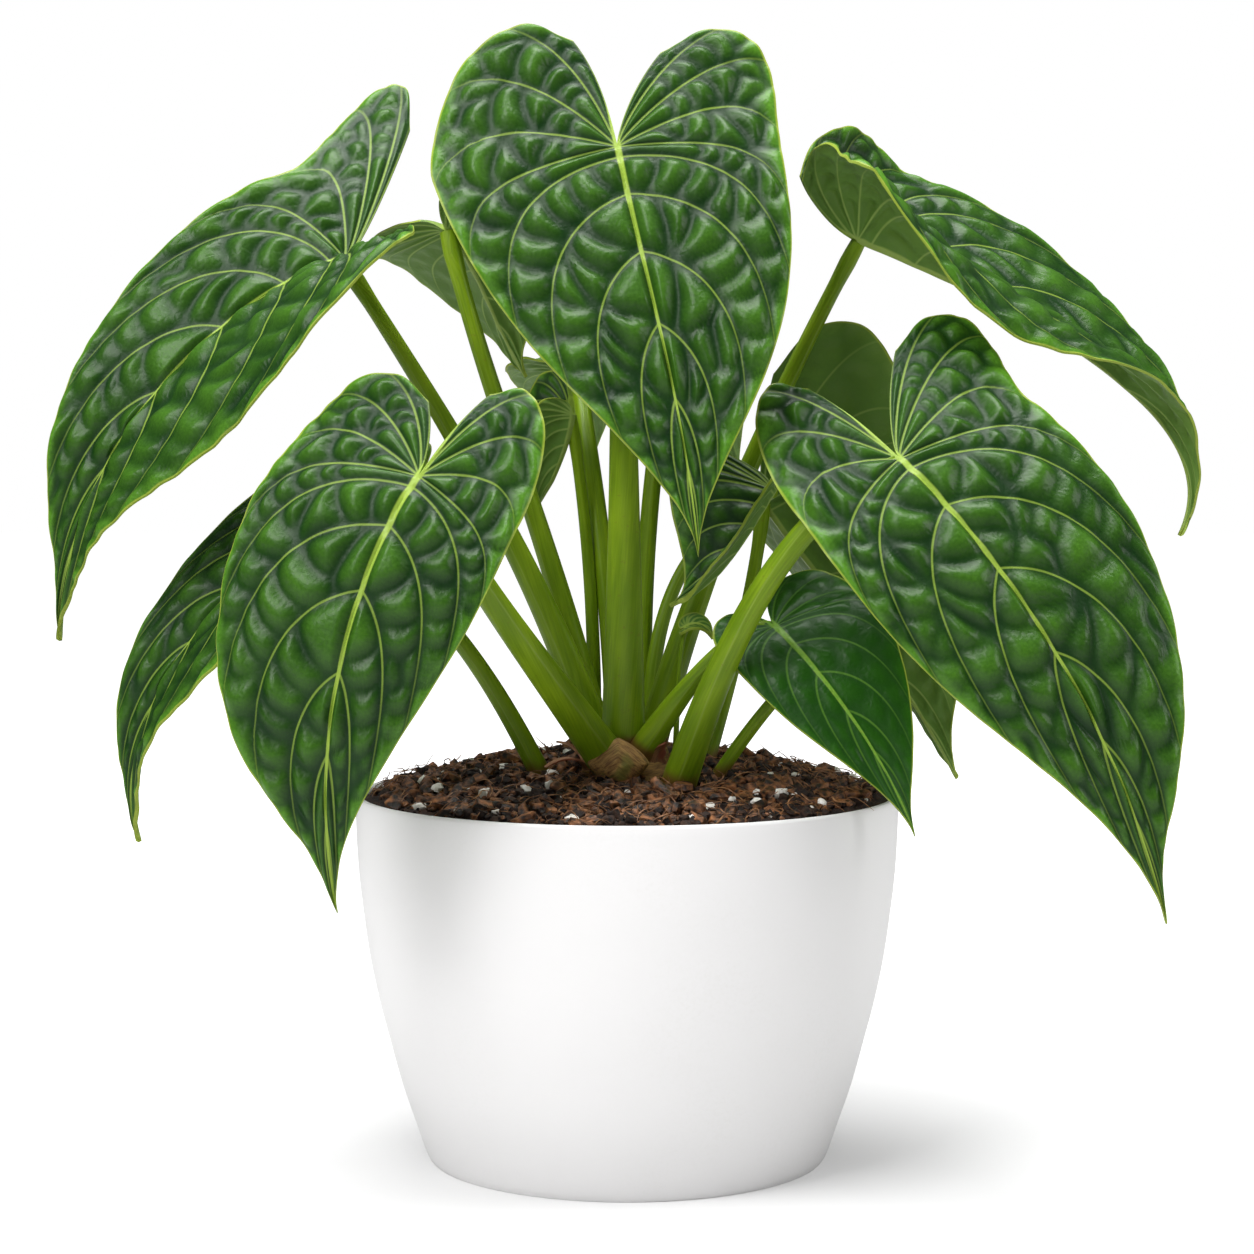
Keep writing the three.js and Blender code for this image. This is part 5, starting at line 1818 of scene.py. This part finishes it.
@dataclass(frozen=True)
class SoftLight:
    """A square soft light that points at the plant. Sizes are in metres, its power in watts."""

    name: str
    place: Point
    size: float
    power: float
    target: Point = (0, 0, 0.2)

    def build(self) -> None:
        """Hangs the light and turns it to its target."""
        light = bpy.data.lights.new(self.name, "AREA")
        light.size = self.size
        light.energy = self.power
        holder = bpy.data.objects.new(self.name, light)
        holder.location = self.place
        direction = Vector(self.target) - Vector(self.place)
        holder.rotation_euler = direction.to_track_quat("-Z", "Y").to_euler()
        bpy.context.scene.collection.objects.link(holder)


LIGHTS = (
    SoftLight("key", (-0.8, -0.85, 1.4), 0.9, 25),
    SoftLight("front", (-0.9, -1.8, 0.8), 0.8, 4),
    SoftLight("right", (1.2, -0.3, 0.7), 0.6, 5.5),
    SoftLight("top", (0.0, 0.1, 1.6), 1.0, 30),
)


@dataclass(frozen=True)
class FloorFinish(Finish):
    """A pale floor that glows a little, more so farther from the pot, where the camera sees it."""

    name: str = "pale floor"
    dark: Colour = (0.68, 0.68, 0.68)
    light: Colour = (0.7, 0.7, 0.7)
    roughness: float = 0.6

    def paint(self, g: Graph, shader: bpy.types.Node) -> None:
        """Draws the floor's faint clouds and its glow.

        Args:
            g: The material's graph.
            shader: Its shader.
        """
        place = g.out("ShaderNodeTexCoord", "Object")
        colour = g.mix(g.noise(place, 3.0, detail=2.0), self.dark, self.light)
        g.tree.links.new(colour, shader.inputs["Base Color"])
        away = g.out("ShaderNodeVectorMath", "Value", {0: place}, operation="LENGTH")
        near = g.ease(away, 0.06, 0.17, low=0.2, high=0.32)
        glow = g.math("ADD", near, g.ease(away, 0.3, 1.0, high=0.68))
        seen = g.out("ShaderNodeLightPath", "Is Camera Ray")
        g.tree.links.new(g.math("MULTIPLY", glow, seen), shader.inputs["Emission Strength"])
        shader.inputs["Emission Color"].default_value = (1, 1, 1, 1)
        shader.inputs["Roughness"].default_value = self.roughness


@dataclass(frozen=True)
class Studio:
    """The camera, the pale floor and the soft lights. Only the floor's drop is in millimetres."""

    camera_place: Point = (0.0, -0.960, 0.2355)
    camera_pitch: float = 3.53
    focal_pixels: float = 2900.0
    image_pixels: float = 1254.0
    sensor: float = 36.0
    floor_size: float = 14.0
    floor_drop: float = 0.05
    ambient: float = 0.11

    def build(self) -> None:
        """Sets up everything that isn't part of the plant."""
        self.add_camera()
        self.add_floor()
        self.add_world()
        for light in LIGHTS:
            light.build()

    def add_camera(self) -> None:
        """Places the camera where the photograph was taken from."""
        camera = bpy.data.cameras.new("camera")
        camera.sensor_width = self.sensor
        camera.sensor_fit = "HORIZONTAL"
        camera.lens = self.focal_pixels / self.image_pixels * self.sensor
        holder = bpy.data.objects.new("camera", camera)
        holder.location = self.camera_place
        holder.rotation_euler = Euler((math.radians(90 - self.camera_pitch), 0, 0))
        bpy.context.scene.collection.objects.link(holder)
        bpy.context.scene.camera = holder

    def add_floor(self) -> None:
        """Lays a pale floor just under the pot."""
        half = self.floor_size / METRES / 2
        corners = np.array([[-half, -half, 0], [half, -half, 0], [half, half, 0], [-half, half, 0]])
        lowered = corners - [0, 0, self.floor_drop]
        make_object("floor", lowered, [(0, 1, 2, 3)], [FloorFinish().material()])

    def add_world(self) -> None:
        """Surrounds the scene with even white light that is full only where the camera sees it."""
        world = bpy.data.worlds.new("studio")
        world.use_nodes = True
        graph = Graph(world.node_tree)
        seen = graph.out("ShaderNodeLightPath", "Is Camera Ray")
        strength = graph.ease(seen, 0.0, 1.0, low=self.ambient, high=1.0)
        background = world.node_tree.nodes["Background"]
        background.inputs["Color"].default_value = (1, 1, 1, 1)
        world.node_tree.links.new(strength, background.inputs["Strength"])
        bpy.context.scene.world = world
        bpy.context.scene.view_settings.view_transform = "Standard"


@dataclass
class Plant:
    """The whole plant in its pot."""

    blades: tuple[Blade, ...] = BLADES
    stalks: tuple[Stalk, ...] = STALKS
    bracts: tuple[Bract, ...] = BRACTS
    built: list[bpy.types.Object] = field(default_factory=list)

    def build(self) -> None:
        """Builds every piece in order."""
        self.built.append(Pot().build())
        self.built += PottingMix().build()
        self.built += [Crown().build(), Shield().build()]
        self.built += [bract.build() for bract in self.bracts]
        self.built += [stalk.build() for stalk in self.stalks]
        self.built += [blade.build() for blade in self.blades]


def main() -> None:
    """Builds the scene."""
    logging.basicConfig(level=logging.INFO, format="%(name)s %(message)s")
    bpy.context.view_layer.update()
    Studio().build()
    plant = Plant()
    plant.build()
    log.info("%d pieces", len(plant.built))


if __name__ == "__main__":
    main()
